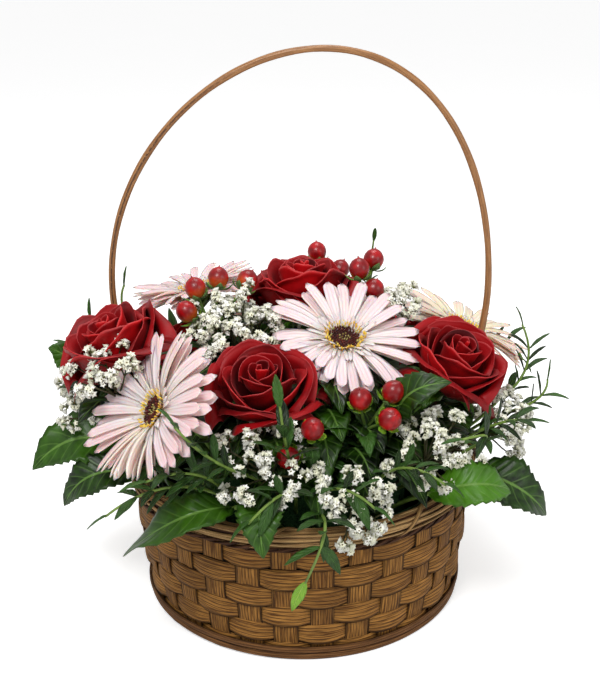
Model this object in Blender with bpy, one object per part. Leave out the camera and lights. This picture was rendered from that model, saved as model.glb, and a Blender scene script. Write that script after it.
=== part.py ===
"""Flower basket arrangement, modelled in metres with +Z up.

A round basket of woven bamboo with one tall cane handle holds a plastic liner, a block of wet
foam, and the cut flowers and foliage whose stems are pushed into the foam. The origin is the
middle of the basket's underside. The handle stands in the XZ plane, and -Y is the front.
"""
import math

import bmesh
import bpy
from mathutils import Matrix, Vector

GAP = 0.0003                    # clearance between pieces that touch
UP = Vector((0, 0, 1))

# Basket
FOOT_RADIUS = 0.1015            # outside of the wall at its foot
TOP_RADIUS = 0.1090             # outside of the wall under the rim
WALL_HEIGHT = 0.0785
WALL_THICKNESS = 0.0028
STAKES = 30                     # upright strips round the wall
WEAVE_ROWS = 6                  # level strips from foot to rim
WEAVE_RELIEF = 0.0007           # how far a strip stands out where it passes over another
FLOOR_THICKNESS = 0.003
ROUND_STEPS = 56                # facets round the floor and the base band
BAND_HEIGHT = 0.010             # canes bound round the foot
BAND_THICKNESS = 0.0022
RIM_RADIUS = 0.1085             # middle of the bundle that caps the wall
RIM_HALF_WIDTH = 0.0044
RIM_HALF_HEIGHT = 0.0062
RIM_STEPS = 44                  # facets round the rim bundle
RIM_CORNERS = 8                 # corners of its section
STRIP_THICKNESS = 0.0009        # lashing and binding strips
STRIP_WIDTH = 0.0034
STRIP_CLEARANCE = 0.0005
RIM_CENTRE_Z = WALL_HEIGHT + GAP + STRIP_THICKNESS + STRIP_CLEARANCE + RIM_HALF_HEIGHT
LASHING_TURNS = 7               # turns round each half of the rim
LASHING_STEPS = 14              # points to each turn, enough for its twist
LASHING_START = math.radians(9)  # the lashing keeps this far from the handle

# Handle: an arch of one split cane
CANE_RADIUS = 0.0023
ARCH_HALF_WIDTH = 0.1175
ARCH_SPRING_Z = 0.204           # where the arch is widest
ARCH_RISE = 0.145
ARCH_LEAN = 0.0143              # the crown sits this far to +X
ARCH_STEPS = 24                 # straight runs round the arch
LEG_TOP = Vector((0.1010, 0, 0.096))
LEG_FOOT = Vector((0.0976, 0, 0.020))
BINDING_SWING = 0.0075          # how far a binding runs along the rim each way
BINDING_HALF_DEPTH = 0.0088
BINDING_HALF_HEIGHT = 0.0071
BINDING_STEPS = 20              # straight runs round a binding

# Working parts inside
LINER_FOOT_RADIUS = 0.0885
LINER_TOP_RADIUS = 0.0962
LINER_TOP_Z = 0.085
LINER_THICKNESS = 0.001
LINER_STEPS = 48                # facets round the liner
FOAM_RADIUS = 0.068
FOAM_TOP_Z = 0.098
FOAM_STEPS = 40                 # facets round the foam
STEM_FOCUS = Vector((0, 0, 0.022))   # every stem is pushed towards this point
STEM_TIP = 0.040                # and stops this far from it
STEM_COLLAR = 0.003             # it stays straight this far out of the foam

# Stem radii
ROSE_STEM = 0.0026
GERBERA_STEM = 0.0022
BERRY_STEM = 0.0014
BERRY_TWIG = 0.0009
STATICE_STEM = 0.0012
STATICE_TWIG = 0.0008           # at its fork
STATICE_TWIG_END = 0.0006
LEAF_STALK = 0.0013
SPRIG_STEM = 0.0010

# Roses: middle of the open flower, the way it faces, its radius
ROSES = {
    "rose_front": ((-0.024, -0.071, 0.175), (-0.05, -0.36, 0.93), 0.031),
    "rose_left": ((-0.110, -0.034, 0.192), (-0.42, 0.15, 0.89), 0.030),
    "rose_right": ((0.099, -0.036, 0.170), (0.38, -0.25, 0.89), 0.030),
    "rose_top": ((0.004, 0.050, 0.199), (0.00, 0.10, 0.99), 0.033),
    "rose_upper_right": ((0.074, 0.042, 0.164), (0.20, 0.10, 0.97), 0.024),
    "rose_back_right": ((0.056, 0.104, 0.142), (0.38, 0.68, 0.62), 0.033),
    "rose_back_left": ((-0.090, 0.090, 0.134), (-0.60, 0.60, 0.52), 0.031),
}
ROSE_DEPTH = 1.25               # cup depth over its radius

# Gerberas: middle of the disc, the way it faces, its radius
GERBERAS = {
    "gerbera_front_left": ((-0.082, -0.090, 0.161), (-0.66, -0.50, 0.54), 0.040),
    "gerbera_centre": ((0.030, -0.030, 0.181), (0.16, -0.33, 0.93), 0.039),
    "gerbera_right": ((0.118, 0.047, 0.163), (0.46, 0.40, 0.79), 0.040),
    "gerbera_top_left": ((-0.066, 0.066, 0.182), (-0.22, 0.26, 0.94), 0.042),
    "gerbera_back": ((-0.012, 0.118, 0.152), (-0.02, 0.76, 0.65), 0.040),
}
GERBERA_PETALS = 12
GERBERA_THICKNESS = 0.0036

# Hypericum: fork of the sprig, then the berries on it
BERRY_RADIUS = 0.0068
HYPERICUMS = {
    "hypericum_left": ((-0.056, 0.000, 0.168), (
        (-0.066, 0.004, 0.202), (-0.071, -0.006, 0.190), (-0.052, 0.012, 0.206), (-0.034, 0.016, 0.203))),
    "hypericum_top": ((0.040, 0.018, 0.172), (
        (0.038, 0.022, 0.208), (0.048, 0.036, 0.210), (0.047, 0.016, 0.196))),
    "hypericum_front_right": ((0.036, -0.066, 0.132), (
        (0.034, -0.077, 0.160), (0.053, -0.074, 0.163), (0.050, -0.090, 0.153))),
    "hypericum_front": ((0.004, -0.074, 0.128), (
        (0.006, -0.096, 0.150), (-0.008, -0.097, 0.133))),
    "hypericum_back": ((0.015, 0.086, 0.158), (
        (0.012, 0.093, 0.199), (0.028, 0.093, 0.186), (-0.004, 0.094, 0.184))),
    "hypericum_back_right": ((0.100, 0.080, 0.118), (
        (0.108, 0.098, 0.136), (0.096, 0.108, 0.128), (0.120, 0.088, 0.126))),
}

# Statice: fork of the sprig, the way it grows, reach of its branches, half-angle they fill
STATICES = {
    "statice_upper_left": ((-0.034, -0.008, 0.152), (-0.02, -0.02, 1.00), 0.040, 40),
    "statice_left": ((-0.116, -0.068, 0.150), (-0.20, -0.04, 0.98), 0.028, 22),
    "statice_far_left": ((-0.116, -0.016, 0.132), (-0.86, -0.10, 0.42), 0.029, 45),
    "statice_front_left": ((-0.026, -0.092, 0.116), (-0.02, -0.60, 0.80), 0.026, 60),
    "statice_front": ((0.030, -0.102, 0.107), (0.25, -0.92, 0.28), 0.024, 55),
    "statice_right": ((0.072, -0.070, 0.116), (0.22, -0.50, 0.83), 0.030, 50),
    "statice_far_right": ((0.112, -0.030, 0.114), (0.86, -0.20, 0.45), 0.028, 45),
    "statice_top_right": ((0.062, 0.010, 0.160), (0.02, 0.10, 0.99), 0.034, 18),
    "statice_back_left": ((-0.042, 0.092, 0.106), (-0.40, 0.90, 0.15), 0.028, 45),
    "statice_back": ((0.022, 0.098, 0.102), (0.10, 0.99, 0.08), 0.028, 42),
    "statice_back_right": ((0.098, 0.036, 0.112), (0.88, 0.34, 0.34), 0.028, 45),
}
STATICE_BRANCHES = 5
STATICE_HEAD = 0.0048           # radius of a cluster of florets
GOLDEN_ANGLE = math.pi * (3 - math.sqrt(5))

# Broad leaves: foot, middle and tip of the midrib, and the width
LEAVES = {
    "leaf_left": ((-0.100, -0.034, 0.104), (-0.136, -0.040, 0.120), (-0.169, -0.040, 0.098), 0.038),
    "leaf_left_low": ((-0.100, -0.050, 0.100), (-0.128, -0.060, 0.104), (-0.148, -0.054, 0.080), 0.026),
    "leaf_front_left": ((-0.050, -0.102, 0.102), (-0.078, -0.122, 0.106), (-0.106, -0.096, 0.066), 0.034),
    "leaf_front": ((-0.022, -0.106, 0.101), (-0.022, -0.126, 0.110), (-0.016, -0.136, 0.086), 0.024),
    "leaf_right": ((0.074, -0.086, 0.103), (0.100, -0.100, 0.116), (0.122, -0.086, 0.104), 0.028),
    "leaf_far_right": ((0.104, -0.044, 0.102), (0.136, -0.056, 0.106), (0.150, -0.050, 0.070), 0.034),
    "leaf_upper_left": ((-0.132, 0.012, 0.128), (-0.150, 0.014, 0.150), (-0.164, 0.012, 0.160), 0.024),
    "leaf_inner_right": ((0.056, -0.066, 0.138), (0.062, -0.080, 0.164), (0.086, -0.082, 0.172), 0.024),
    "leaf_back_left": ((-0.100, 0.052, 0.102), (-0.130, 0.070, 0.118), (-0.152, 0.070, 0.092), 0.036),
    "leaf_back": ((-0.022, 0.108, 0.102), (-0.024, 0.140, 0.112), (-0.030, 0.158, 0.080), 0.036),
    "leaf_back_right": ((0.070, 0.092, 0.102), (0.094, 0.122, 0.108), (0.110, 0.128, 0.074), 0.034),
}
LEAF_THICKNESS = 0.0008
LEAF_FOLD = 0.16                # rise of the edges over the half width

# Narrow-leaved sprigs: where the bare stem ends, middle and tip, then pairs of leaves and length
SPRIGS = {
    "sprig_left": ((-0.050, -0.096, 0.110), (-0.078, -0.120, 0.126), (-0.110, -0.122, 0.110), 3, 0.022),
    "sprig_front": ((0.006, -0.112, 0.104), (0.002, -0.142, 0.112), (-0.002, -0.128, 0.050), 3, 0.020),
    "sprig_right": ((0.094, -0.072, 0.122), (0.104, -0.100, 0.146), (0.088, -0.112, 0.150), 2, 0.018),
    "sprig_upper_left": ((-0.098, 0.022, 0.150), (-0.114, 0.022, 0.178), (-0.114, 0.026, 0.198), 1, 0.018),
    "sprig_top": ((0.046, 0.072, 0.182), (0.048, 0.072, 0.196), (0.050, 0.068, 0.214), 1, 0.014),
    "sprig_far_right": ((0.138, 0.006, 0.128), (0.154, 0.010, 0.152), (0.146, 0.012, 0.188), 3, 0.018),
    "sprig_back_left": ((-0.124, 0.048, 0.126), (-0.140, 0.056, 0.144), (-0.144, 0.060, 0.164), 2, 0.020),
    "sprig_back": ((0.040, 0.126, 0.116), (0.042, 0.152, 0.128), (0.044, 0.164, 0.104), 2, 0.022),
    "sprig_back_right": ((0.114, 0.062, 0.124), (0.140, 0.072, 0.138), (0.158, 0.078, 0.122), 2, 0.020),
}
SPRIG_LEAF_WIDTH = 0.30         # width of a narrow leaf over its length

COLOURS = {
    "bamboo": ((0.150, 0.065, 0.018), 0.55),
    "straw": ((0.400, 0.320, 0.145), 0.60),
    "cane": ((0.330, 0.190, 0.090), 0.50),
    "plastic": ((0.030, 0.080, 0.040), 0.35),
    "foam": ((0.030, 0.120, 0.050), 0.90),
    "rose": ((0.300, 0.004, 0.007), 0.50),
    "gerbera": ((0.900, 0.720, 0.730), 0.50),
    "berry": ((0.250, 0.010, 0.010), 0.25),
    "statice": ((0.680, 0.720, 0.500), 0.70),
    "leaf": ((0.030, 0.085, 0.012), 0.40),
    "sprig": ((0.030, 0.095, 0.020), 0.45),
}


# ---------------------------------------------------------------- building blocks

def material(name):
    """The named finish, made on first use."""
    found = bpy.data.materials.get(name)
    if found:
        return found
    colour, roughness = COLOURS[name]
    made = bpy.data.materials.new(name)
    made.use_nodes = True
    shader = made.node_tree.nodes["Principled BSDF"]
    shader.inputs["Base Color"].default_value = (*colour, 1)
    shader.inputs["Roughness"].default_value = roughness
    shader.inputs["Metallic"].default_value = 0
    return made


def add_object(name, bm, finish):
    """Turn a bmesh into an object of the scene, with its faces pointing out."""
    bmesh.ops.recalc_face_normals(bm, faces=bm.faces)
    mesh = bpy.data.meshes.new(name)
    bm.to_mesh(mesh)
    bm.free()
    mesh.materials.append(material(finish))
    obj = bpy.data.objects.new(name, mesh)
    bpy.context.scene.collection.objects.link(obj)
    return obj


def shade(obj, angle=40):
    """Smooth shading with sharp edges kept."""
    obj.data.shade_smooth()
    obj.data.set_sharp_from_angle(angle=math.radians(angle))


def boolean(target, others, operation):
    """Apply one boolean for each of the other objects, which are then removed."""
    for other in others:
        step = target.modifiers.new("cut", "BOOLEAN")
        step.operation = operation
        step.solver = "EXACT"
        step.object = other
    graph = bpy.context.evaluated_depsgraph_get()
    result = bpy.data.meshes.new_from_object(target.evaluated_get(graph))
    target.modifiers.clear()
    target.data = result
    for other in others:
        bpy.data.objects.remove(other)
    return target


def facing_matrix(place, facing):
    """Matrix that puts a shape built along +Z at a place, turned the way it faces."""
    turn = UP.rotation_difference(Vector(facing).normalized())
    return Matrix.Translation(Vector(place)) @ turn.to_matrix().to_4x4()


def curve_points(start, start_way, end, end_way, count):
    """Smooth path between two places with the given end tangents, without its first point."""
    points = []
    for step in range(1, count + 1):
        t = step / count
        points.append((2 * t**3 - 3 * t**2 + 1) * start + (t**3 - 2 * t**2 + t) * start_way
                      + (3 * t**2 - 2 * t**3) * end + (t**3 - t**2) * end_way)
    return points


def bend_points(start, middle, end, count):
    """Points of a path that leaves towards the middle and comes to the end, without its start."""
    points = []
    for step in range(1, count + 1):
        t = step / count
        points.append((1 - t)**2 * start + 2 * t * (1 - t) * middle + t * t * end)
    return points


def sweep(points, radii, sides=6, closed=False, section=None):
    """Closed body swept along points; a section gives (across, along-normal) half sizes instead."""
    bm = bmesh.new()
    count = len(points)
    normal = None
    rings = []
    for index, point in enumerate(points):
        before = points[(index - 1) % count] if closed else points[max(index - 1, 0)]
        after = points[(index + 1) % count] if closed else points[min(index + 1, count - 1)]
        way = (after - before).normalized()
        if section:
            normal = section(index, way)
        elif normal is None:
            normal = way.orthogonal().normalized()
        normal = (normal - way * normal.dot(way)).normalized()
        across = way.cross(normal)
        ring = []
        for side in range(sides):
            turn = 2 * math.pi * (side + 0.5) / sides
            if section:
                corner = (across * math.copysign(STRIP_WIDTH / 2, math.cos(turn))
                          + normal * math.copysign(STRIP_THICKNESS / 2, math.sin(turn)))
            else:
                corner = radii[index] * (across * math.cos(turn) + normal * math.sin(turn))
            ring.append(bm.verts.new(point + corner))
        rings.append(ring)
    for index in range(count if closed else count - 1):
        ring, following = rings[index], rings[(index + 1) % count]
        for side in range(sides):
            other = (side + 1) % sides
            bm.faces.new((ring[side], ring[other], following[other], following[side]))
    if not closed:
        bm.faces.new(rings[0])
        bm.faces.new(rings[-1])
    return bm


def turned(profile, steps):
    """Closed body turned about Z from (radius, z) points.

    The points run from the axis back to the axis, or round the closed section of a ring.
    """
    bm = bmesh.new()
    verts = [bm.verts.new((radius, 0, z)) for radius, z in profile]
    following = verts[1:] if profile[0][0] == 0 else verts[1:] + verts[:1]
    edges = [bm.edges.new(pair) for pair in zip(verts, following)]
    bmesh.ops.spin(bm, geom=verts + edges, cent=(0, 0, 0), axis=UP, angle=2 * math.pi,
                   steps=steps, use_merge=True, use_duplicate=False)
    bmesh.ops.remove_doubles(bm, verts=bm.verts, dist=1e-6)
    return bm


# ---------------------------------------------------------------- basket

def wall_radius(z):
    """Outside radius of the wall at a height, swelling gently from foot to rim."""
    return FOOT_RADIUS + (TOP_RADIUS - FOOT_RADIUS) * math.sin(math.pi / 2 * z / WALL_HEIGHT)


def build_wall():
    """The woven wall: a shell whose outside rises and falls where strips cross."""
    columns = 2 * STAKES
    heights = [WALL_HEIGHT * row / (2 * WEAVE_ROWS) for row in range(2 * WEAVE_ROWS + 1)]
    outline = [(wall_radius(z), z) for z in heights]
    outline += [(wall_radius(z) - WALL_THICKNESS, z) for z in (WALL_HEIGHT, WALL_HEIGHT / 2, 0)]
    bm = turned(outline, columns)
    for vert in bm.verts:
        radius = math.hypot(vert.co.x, vert.co.y)
        row = round(vert.co.z / WALL_HEIGHT * 2 * WEAVE_ROWS)
        if radius < wall_radius(vert.co.z) - WALL_THICKNESS / 2 or row % 2 == 0:
            continue
        column = round(math.atan2(vert.co.y, vert.co.x) / (2 * math.pi) * columns)
        over = 1 if (column // 2 + row // 2) % 2 == 0 else -1
        if column % 2 == 0:
            vert.co += Vector((vert.co.x, vert.co.y, 0)).normalized() * over * WEAVE_RELIEF
    return add_object("woven_wall", bm, "bamboo")


def build_floor():
    """The flat round bottom of the basket."""
    radius = FOOT_RADIUS - WALL_THICKNESS - GAP
    bm = turned([(0, 0), (radius, 0), (radius, FLOOR_THICKNESS), (0, FLOOR_THICKNESS)], ROUND_STEPS)
    return add_object("basket_floor", bm, "bamboo")


def build_band():
    """Canes bound round the foot of the wall."""
    inner = wall_radius(BAND_HEIGHT) + WEAVE_RELIEF + GAP
    outer = inner + BAND_THICKNESS
    outline = [(inner, 0), (outer, 0), (outer - GAP, BAND_HEIGHT / 2), (outer, BAND_HEIGHT),
               (inner, BAND_HEIGHT)]
    return add_object("base_band", turned(outline, ROUND_STEPS), "bamboo")


def build_rim():
    """The bundle of splits that caps the wall."""
    outline = []
    for corner in range(RIM_CORNERS):
        turn = 2 * math.pi * corner / RIM_CORNERS
        outline.append((RIM_RADIUS + RIM_HALF_WIDTH * math.cos(turn),
                        RIM_CENTRE_Z + RIM_HALF_HEIGHT * math.sin(turn)))
    rim = add_object("rim_bundle", turned(outline, RIM_STEPS), "straw")
    shade(rim)
    return rim


def build_lashing(name, start):
    """One strip wound round half of the rim bundle, clear of the handle."""
    depth = RIM_HALF_WIDTH + STRIP_CLEARANCE + STRIP_THICKNESS / 2
    height = RIM_HALF_HEIGHT + STRIP_CLEARANCE + STRIP_THICKNESS / 2
    span = math.pi - 2 * LASHING_START
    steps = LASHING_TURNS * LASHING_STEPS
    points, outward = [], []
    for step in range(steps + 1):
        around = start + LASHING_START + span * step / steps
        wind = 2 * math.pi * LASHING_TURNS * step / steps
        radial = Vector((math.cos(around), math.sin(around), 0))
        points.append(radial * (RIM_RADIUS + depth * math.cos(wind))
                      + UP * (RIM_CENTRE_Z + height * math.sin(wind)))
        outward.append(radial * math.cos(wind) * height + UP * math.sin(wind) * depth)
    bm = sweep(points, None, sides=4, section=lambda index, way: outward[index])
    return add_object(name, bm, "straw")


def build_binding(name, side):
    """The strip that ties one leg of the handle to the rim: over one side and back the other."""
    centre_x = (LEG_TOP.x - CANE_RADIUS + RIM_RADIUS + RIM_HALF_WIDTH) / 2
    points, outward = [], []
    for step in range(BINDING_STEPS):
        turn = 2 * math.pi * step / BINDING_STEPS
        points.append(Vector((side * (centre_x - BINDING_HALF_DEPTH * math.cos(turn)),
                              BINDING_SWING * math.sin(turn),
                              RIM_CENTRE_Z + BINDING_HALF_HEIGHT * math.sin(turn))))
        outward.append(Vector((-side * math.cos(turn), 0, math.sin(turn))))
    bm = sweep(points, None, sides=4, closed=True, section=lambda index, way: outward[index])
    return add_object(name, bm, "cane")


def handle_points():
    """Middle of the cane from one foot, over the arch, to the other foot."""
    spring = Vector((ARCH_HALF_WIDTH, 0, ARCH_SPRING_Z))
    reach = (spring - LEG_TOP).length
    slope = (LEG_TOP - LEG_FOOT).normalized()
    leg = [LEG_FOOT, LEG_TOP] + curve_points(LEG_TOP, slope * reach, spring, UP * reach, 6)
    arch = []
    for step in range(1, ARCH_STEPS):
        turn = math.pi * step / ARCH_STEPS
        arch.append(Vector((ARCH_HALF_WIDTH * math.cos(turn) + ARCH_LEAN * math.sin(turn)**2, 0,
                            ARCH_SPRING_Z + ARCH_RISE * math.sin(turn))))
    other_leg = [Vector((-point.x, 0, point.z)) for point in reversed(leg)]
    return leg + arch + other_leg


def build_handle():
    """The arch of split cane with its feet inside the wall."""
    points = handle_points()
    handle = add_object("handle", sweep(points, [CANE_RADIUS] * len(points), sides=6), "cane")
    shade(handle)
    return handle


# ---------------------------------------------------------------- liner and foam

def build_liner():
    """Plastic bowl that stands on the basket's floor."""
    foot = FLOOR_THICKNESS + GAP
    inner_foot = foot + LINER_THICKNESS
    outline = [(0, foot), (LINER_FOOT_RADIUS, foot), (LINER_TOP_RADIUS, LINER_TOP_Z),
               (LINER_TOP_RADIUS - LINER_THICKNESS, LINER_TOP_Z),
               (LINER_FOOT_RADIUS - LINER_THICKNESS, inner_foot), (0, inner_foot)]
    return add_object("liner", turned(outline, LINER_STEPS), "plastic")


def build_foam(stems):
    """Block of wet foam with a hole for each stem."""
    foot = FLOOR_THICKNESS + LINER_THICKNESS + 2 * GAP
    outline = [(0, foot), (FOAM_RADIUS, foot), (FOAM_RADIUS, FOAM_TOP_Z), (0, FOAM_TOP_Z)]
    foam = add_object("floral_foam", turned(outline, FOAM_STEPS), "foam")
    cutters = []
    for way, radius in stems:
        start = STEM_FOCUS + way * (STEM_TIP - GAP)
        end = STEM_FOCUS + way * (foam_exit(way) + 0.02)
        hole = (radius + GAP) / math.cos(math.pi / 6)
        cutters.append(add_object("hole", sweep([start, end], [hole, hole]), "foam"))
    return boolean(foam, cutters, "DIFFERENCE")


def foam_exit(way):
    """Distance from the stems' focus to the surface of the foam."""
    flat = math.hypot(way.x, way.y)
    top = (FOAM_TOP_Z - STEM_FOCUS.z) / max(way.z, 1e-6)
    return min(top, FOAM_RADIUS / max(flat, 1e-6))


# ---------------------------------------------------------------- plants

def stem_points(end, end_way, count=5):
    """Path of a stem from its tip in the foam to its end, and the way it goes through the foam."""
    way = (end - STEM_FOCUS).normalized()
    leave = STEM_FOCUS + way * (foam_exit(way) + STEM_COLLAR)
    reach = (end - leave).length
    points = [STEM_FOCUS + way * STEM_TIP, leave]
    points += curve_points(leave, way * reach, end, Vector(end_way).normalized() * reach, count)
    return points, way


def stem(name, end, end_way, radius, finish, sides=6, count=5):
    """Stem as its own closed body, with the way it goes through the foam."""
    points, way = stem_points(Vector(end), end_way, count)
    bm = sweep(points, [radius] * len(points), sides=sides)
    return add_object(name, bm, finish), (way, radius)


def build_rose(name, place, facing, radius):
    """Rose: a cup of petals on its stem."""
    facing = Vector(facing).normalized()
    depth = ROSE_DEPTH * radius
    profile = [(0, -depth), (0.16 * radius, -depth), (0.34 * radius, -0.84 * depth),
               (0.74 * radius, -0.55 * depth), (0.96 * radius, -0.22 * depth),
               (1.00 * radius, 0), (0.84 * radius, 0.06 * depth), (0.45 * radius, 0.10 * depth),
               (0, 0.08 * depth)]
    bm = turned(profile, 10)
    bmesh.ops.transform(bm, matrix=facing_matrix(place, facing), verts=bm.verts)
    head = add_object("head", bm, "rose")
    end = Vector(place) - facing * 0.9 * depth
    body, hole = stem(name, end, facing, ROSE_STEM, "rose")
    shade(boolean(body, [head], "UNION"), 60)
    return hole


def build_gerbera(name, place, facing, radius):
    """Gerbera: a shallow plate of petals on its stem, notched between the petals."""
    facing = Vector(facing).normalized()
    thick = GERBERA_THICKNESS
    profile = [(0, -0.24 * radius), (0.20 * radius, -0.20 * radius), (0.42 * radius, -0.5 * thick),
               (radius, 0.02 * radius - thick), (radius, 0.02 * radius), (0.26 * radius, 0.6 * thick),
               (0, 0.3 * thick)]
    bm = turned(profile, 2 * GERBERA_PETALS)
    for vert in bm.verts:
        flat = math.hypot(vert.co.x, vert.co.y)
        slot = round(math.atan2(vert.co.y, vert.co.x) / math.pi * GERBERA_PETALS)
        if flat > 0.9 * radius and slot % 2:
            vert.co.x *= 0.8
            vert.co.y *= 0.8
    bmesh.ops.transform(bm, matrix=facing_matrix(place, facing), verts=bm.verts)
    head = add_object("head", bm, "gerbera")
    end = Vector(place) - facing * 0.16 * radius
    body, hole = stem(name, end, facing, GERBERA_STEM, "gerbera")
    shade(boolean(body, [head], "UNION"), 50)
    return hole


def build_hypericum(name, fork, berries):
    """Hypericum sprig: a stem that forks to its berries."""
    fork = Vector(fork)
    middle = sum((Vector(berry) for berry in berries), Vector()) / len(berries)
    body, hole = stem(name, fork, middle - fork, BERRY_STEM, "berry", sides=4, count=3)
    pieces = []
    for place in berries:
        berry = Vector(place)
        way = (berry - fork).normalized()
        twig = sweep([fork - way * BERRY_STEM, berry], [BERRY_TWIG] * 2, sides=3)
        pieces.append(add_object("twig", twig, "berry"))
        ball = turned([(0, -1.05 * BERRY_RADIUS), (0.80 * BERRY_RADIUS, -0.55 * BERRY_RADIUS),
                       (BERRY_RADIUS, 0.05 * BERRY_RADIUS), (0.68 * BERRY_RADIUS, 0.75 * BERRY_RADIUS),
                       (0, 1.25 * BERRY_RADIUS)], 6)
        bmesh.ops.transform(ball, matrix=facing_matrix(berry, way), verts=ball.verts)
        pieces.append(add_object("ball", ball, "berry"))
    shade(boolean(body, pieces, "UNION"), 50)
    return hole


def statice_heads(fork, growth, reach, half_angle):
    """Places of the floret clusters: spread over a cap round the way the sprig grows."""
    turn = facing_matrix(fork, growth)
    heads = []
    for branch in range(STATICE_BRANCHES):
        lean = math.radians(half_angle) * math.sqrt(branch / (STATICE_BRANCHES - 1))
        around = branch * GOLDEN_ANGLE
        length = reach * (1 - 0.12 * (branch % 3))
        heads.append(turn @ Vector((math.sin(lean) * math.cos(around) * length,
                                    math.sin(lean) * math.sin(around) * length,
                                    math.cos(lean) * length)))
    return heads


def build_statice(name, fork, growth, reach, half_angle):
    """Statice sprig: thin branches from one fork, each with a cluster of florets."""
    fork = Vector(fork)
    body, hole = stem(name, fork, growth, STATICE_STEM, "statice", sides=4, count=2)
    pieces = []
    for head in statice_heads(fork, growth, reach, half_angle):
        way = (head - fork).normalized()
        twig = sweep([fork - way * STATICE_TWIG, head], [STATICE_TWIG, STATICE_TWIG_END],
                     sides=3)
        pieces.append(add_object("twig", twig, "statice"))
        cluster = turned([(0, -STATICE_HEAD), (STATICE_HEAD, 0), (0, STATICE_HEAD)], 4)
        bmesh.ops.transform(cluster, matrix=facing_matrix(head, way), verts=cluster.verts)
        pieces.append(add_object("cluster", cluster, "statice"))
    boolean(body, pieces, "UNION")
    return hole


def blade(base, middle, tip, width, rows=5, columns=2):
    """Closed thin leaf along a bent midrib, widest before its middle, folded along the rib."""
    path = [base] + bend_points(base, middle, tip, rows)
    bm = bmesh.new()
    bmesh.ops.create_grid(bm, x_segments=columns, y_segments=rows, size=1)
    for vert in bm.verts:
        column = round(vert.co.x)
        row = round((vert.co.y + 1) / 2 * rows)
        t = row / rows
        way = (path[min(row + 1, rows)] - path[max(row - 1, 0)]).normalized()
        across = way.cross(UP).normalized()
        normal = across.cross(way)
        half = width / 2 * max(math.sin(math.pi * t**0.8)**0.8, 0.06)
        vert.co = path[row] + across * column * half + normal * LEAF_FOLD * half * abs(column)
    bmesh.ops.recalc_face_normals(bm, faces=bm.faces)
    bmesh.ops.solidify(bm, geom=bm.faces, thickness=LEAF_THICKNESS)
    return bm


def build_leaf(name, base, middle, tip, width):
    """Broad leaf on its stalk."""
    base, middle, tip = Vector(base), Vector(middle), Vector(tip)
    start_way = (middle - base).normalized()
    body, hole = stem(name, base + start_way * 0.004, start_way, LEAF_STALK, "leaf", sides=4, count=3)
    leaf = add_object("blade", blade(base, middle, tip, width), "leaf")
    boolean(body, [leaf], "UNION")
    return hole


def build_sprig(name, base, middle, tip, pairs, leaf_length):
    """Narrow-leaved sprig: pairs of lance-shaped leaves along a thin stem, one leaf at its tip."""
    base, middle, tip = Vector(base), Vector(middle), Vector(tip)
    points, way = stem_points(base, middle - base, count=3)
    points += bend_points(base, middle, tip, 4)
    body = add_object(name, sweep(points, [SPRIG_STEM] * len(points), sides=4), "sprig")
    path = [base] + bend_points(base, middle, tip, 2 * pairs + 1)
    pieces = []
    for pair in range(pairs):
        node = path[2 * pair + 1]
        along = (path[2 * pair + 2] - path[2 * pair]).normalized()
        across = along.cross(UP)
        across = across.normalized() if across.length > 0.2 else Vector((1, 0, 0))
        if pair % 2:
            across = along.cross(across)
        for side in (-1, 1):
            end = node + (across * side + along * 0.9).normalized() * leaf_length
            pieces.append(narrow_leaf(node, end, leaf_length))
    along = (path[-1] - path[-2]).normalized()
    pieces.append(narrow_leaf(tip - along * 0.002, tip + along * leaf_length * 0.7, leaf_length))
    boolean(body, pieces, "UNION")
    return way, SPRIG_STEM


def narrow_leaf(foot, end, length):
    """One lance-shaped leaf of a sprig."""
    middle = (foot + end) / 2 + UP * 0.08 * length
    return add_object("lance", blade(foot, middle, end, SPRIG_LEAF_WIDTH * length, 2, 1), "sprig")


# ---------------------------------------------------------------- assembly

def main():
    """Build the basket, then the plants, then the foam with a hole for each stem."""
    for obj in list(bpy.data.objects):
        bpy.data.objects.remove(obj)

    build_floor()
    build_wall()
    build_band()
    build_rim()
    build_lashing("rim_lashing_back", 0)
    build_lashing("rim_lashing_front", math.pi)
    build_binding("handle_binding_left", -1)
    build_binding("handle_binding_right", 1)
    build_handle()
    build_liner()

    holes = []
    families = ((build_rose, ROSES), (build_gerbera, GERBERAS), (build_hypericum, HYPERICUMS),
                (build_statice, STATICES), (build_leaf, LEAVES), (build_sprig, SPRIGS))
    for build, family in families:
        for name, values in family.items():
            holes.append(build(name, *values))
    build_foam(holes)


main()
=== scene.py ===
"""Looks of a flower arrangement in a round woven bamboo basket with a tall arched cane handle.

Each plant and each part of the basket is one detailed piece in the place of its plain solid.
Lengths are in metres, apart from the layout tables. +Z is up, -Y is the front, and the handle
stands in the XZ plane.
"""
import logging
import math
import random
from collections.abc import Callable, Sequence
from dataclasses import dataclass, field
from enum import Enum

import bmesh
import bpy
import numpy as np
from mathutils import Matrix, Vector


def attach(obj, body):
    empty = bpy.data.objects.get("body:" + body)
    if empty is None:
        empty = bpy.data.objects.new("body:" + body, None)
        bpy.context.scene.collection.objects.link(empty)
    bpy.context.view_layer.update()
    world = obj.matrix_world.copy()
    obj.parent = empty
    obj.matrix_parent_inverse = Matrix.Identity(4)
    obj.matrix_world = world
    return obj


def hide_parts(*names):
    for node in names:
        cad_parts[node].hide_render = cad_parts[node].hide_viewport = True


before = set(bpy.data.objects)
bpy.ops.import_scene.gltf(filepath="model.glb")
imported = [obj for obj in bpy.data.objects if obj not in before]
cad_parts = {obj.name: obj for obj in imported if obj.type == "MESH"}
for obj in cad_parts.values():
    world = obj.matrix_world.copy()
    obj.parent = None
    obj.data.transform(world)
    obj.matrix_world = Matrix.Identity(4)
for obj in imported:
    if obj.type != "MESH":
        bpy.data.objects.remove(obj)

LOG = logging.getLogger("flower_basket")

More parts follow.
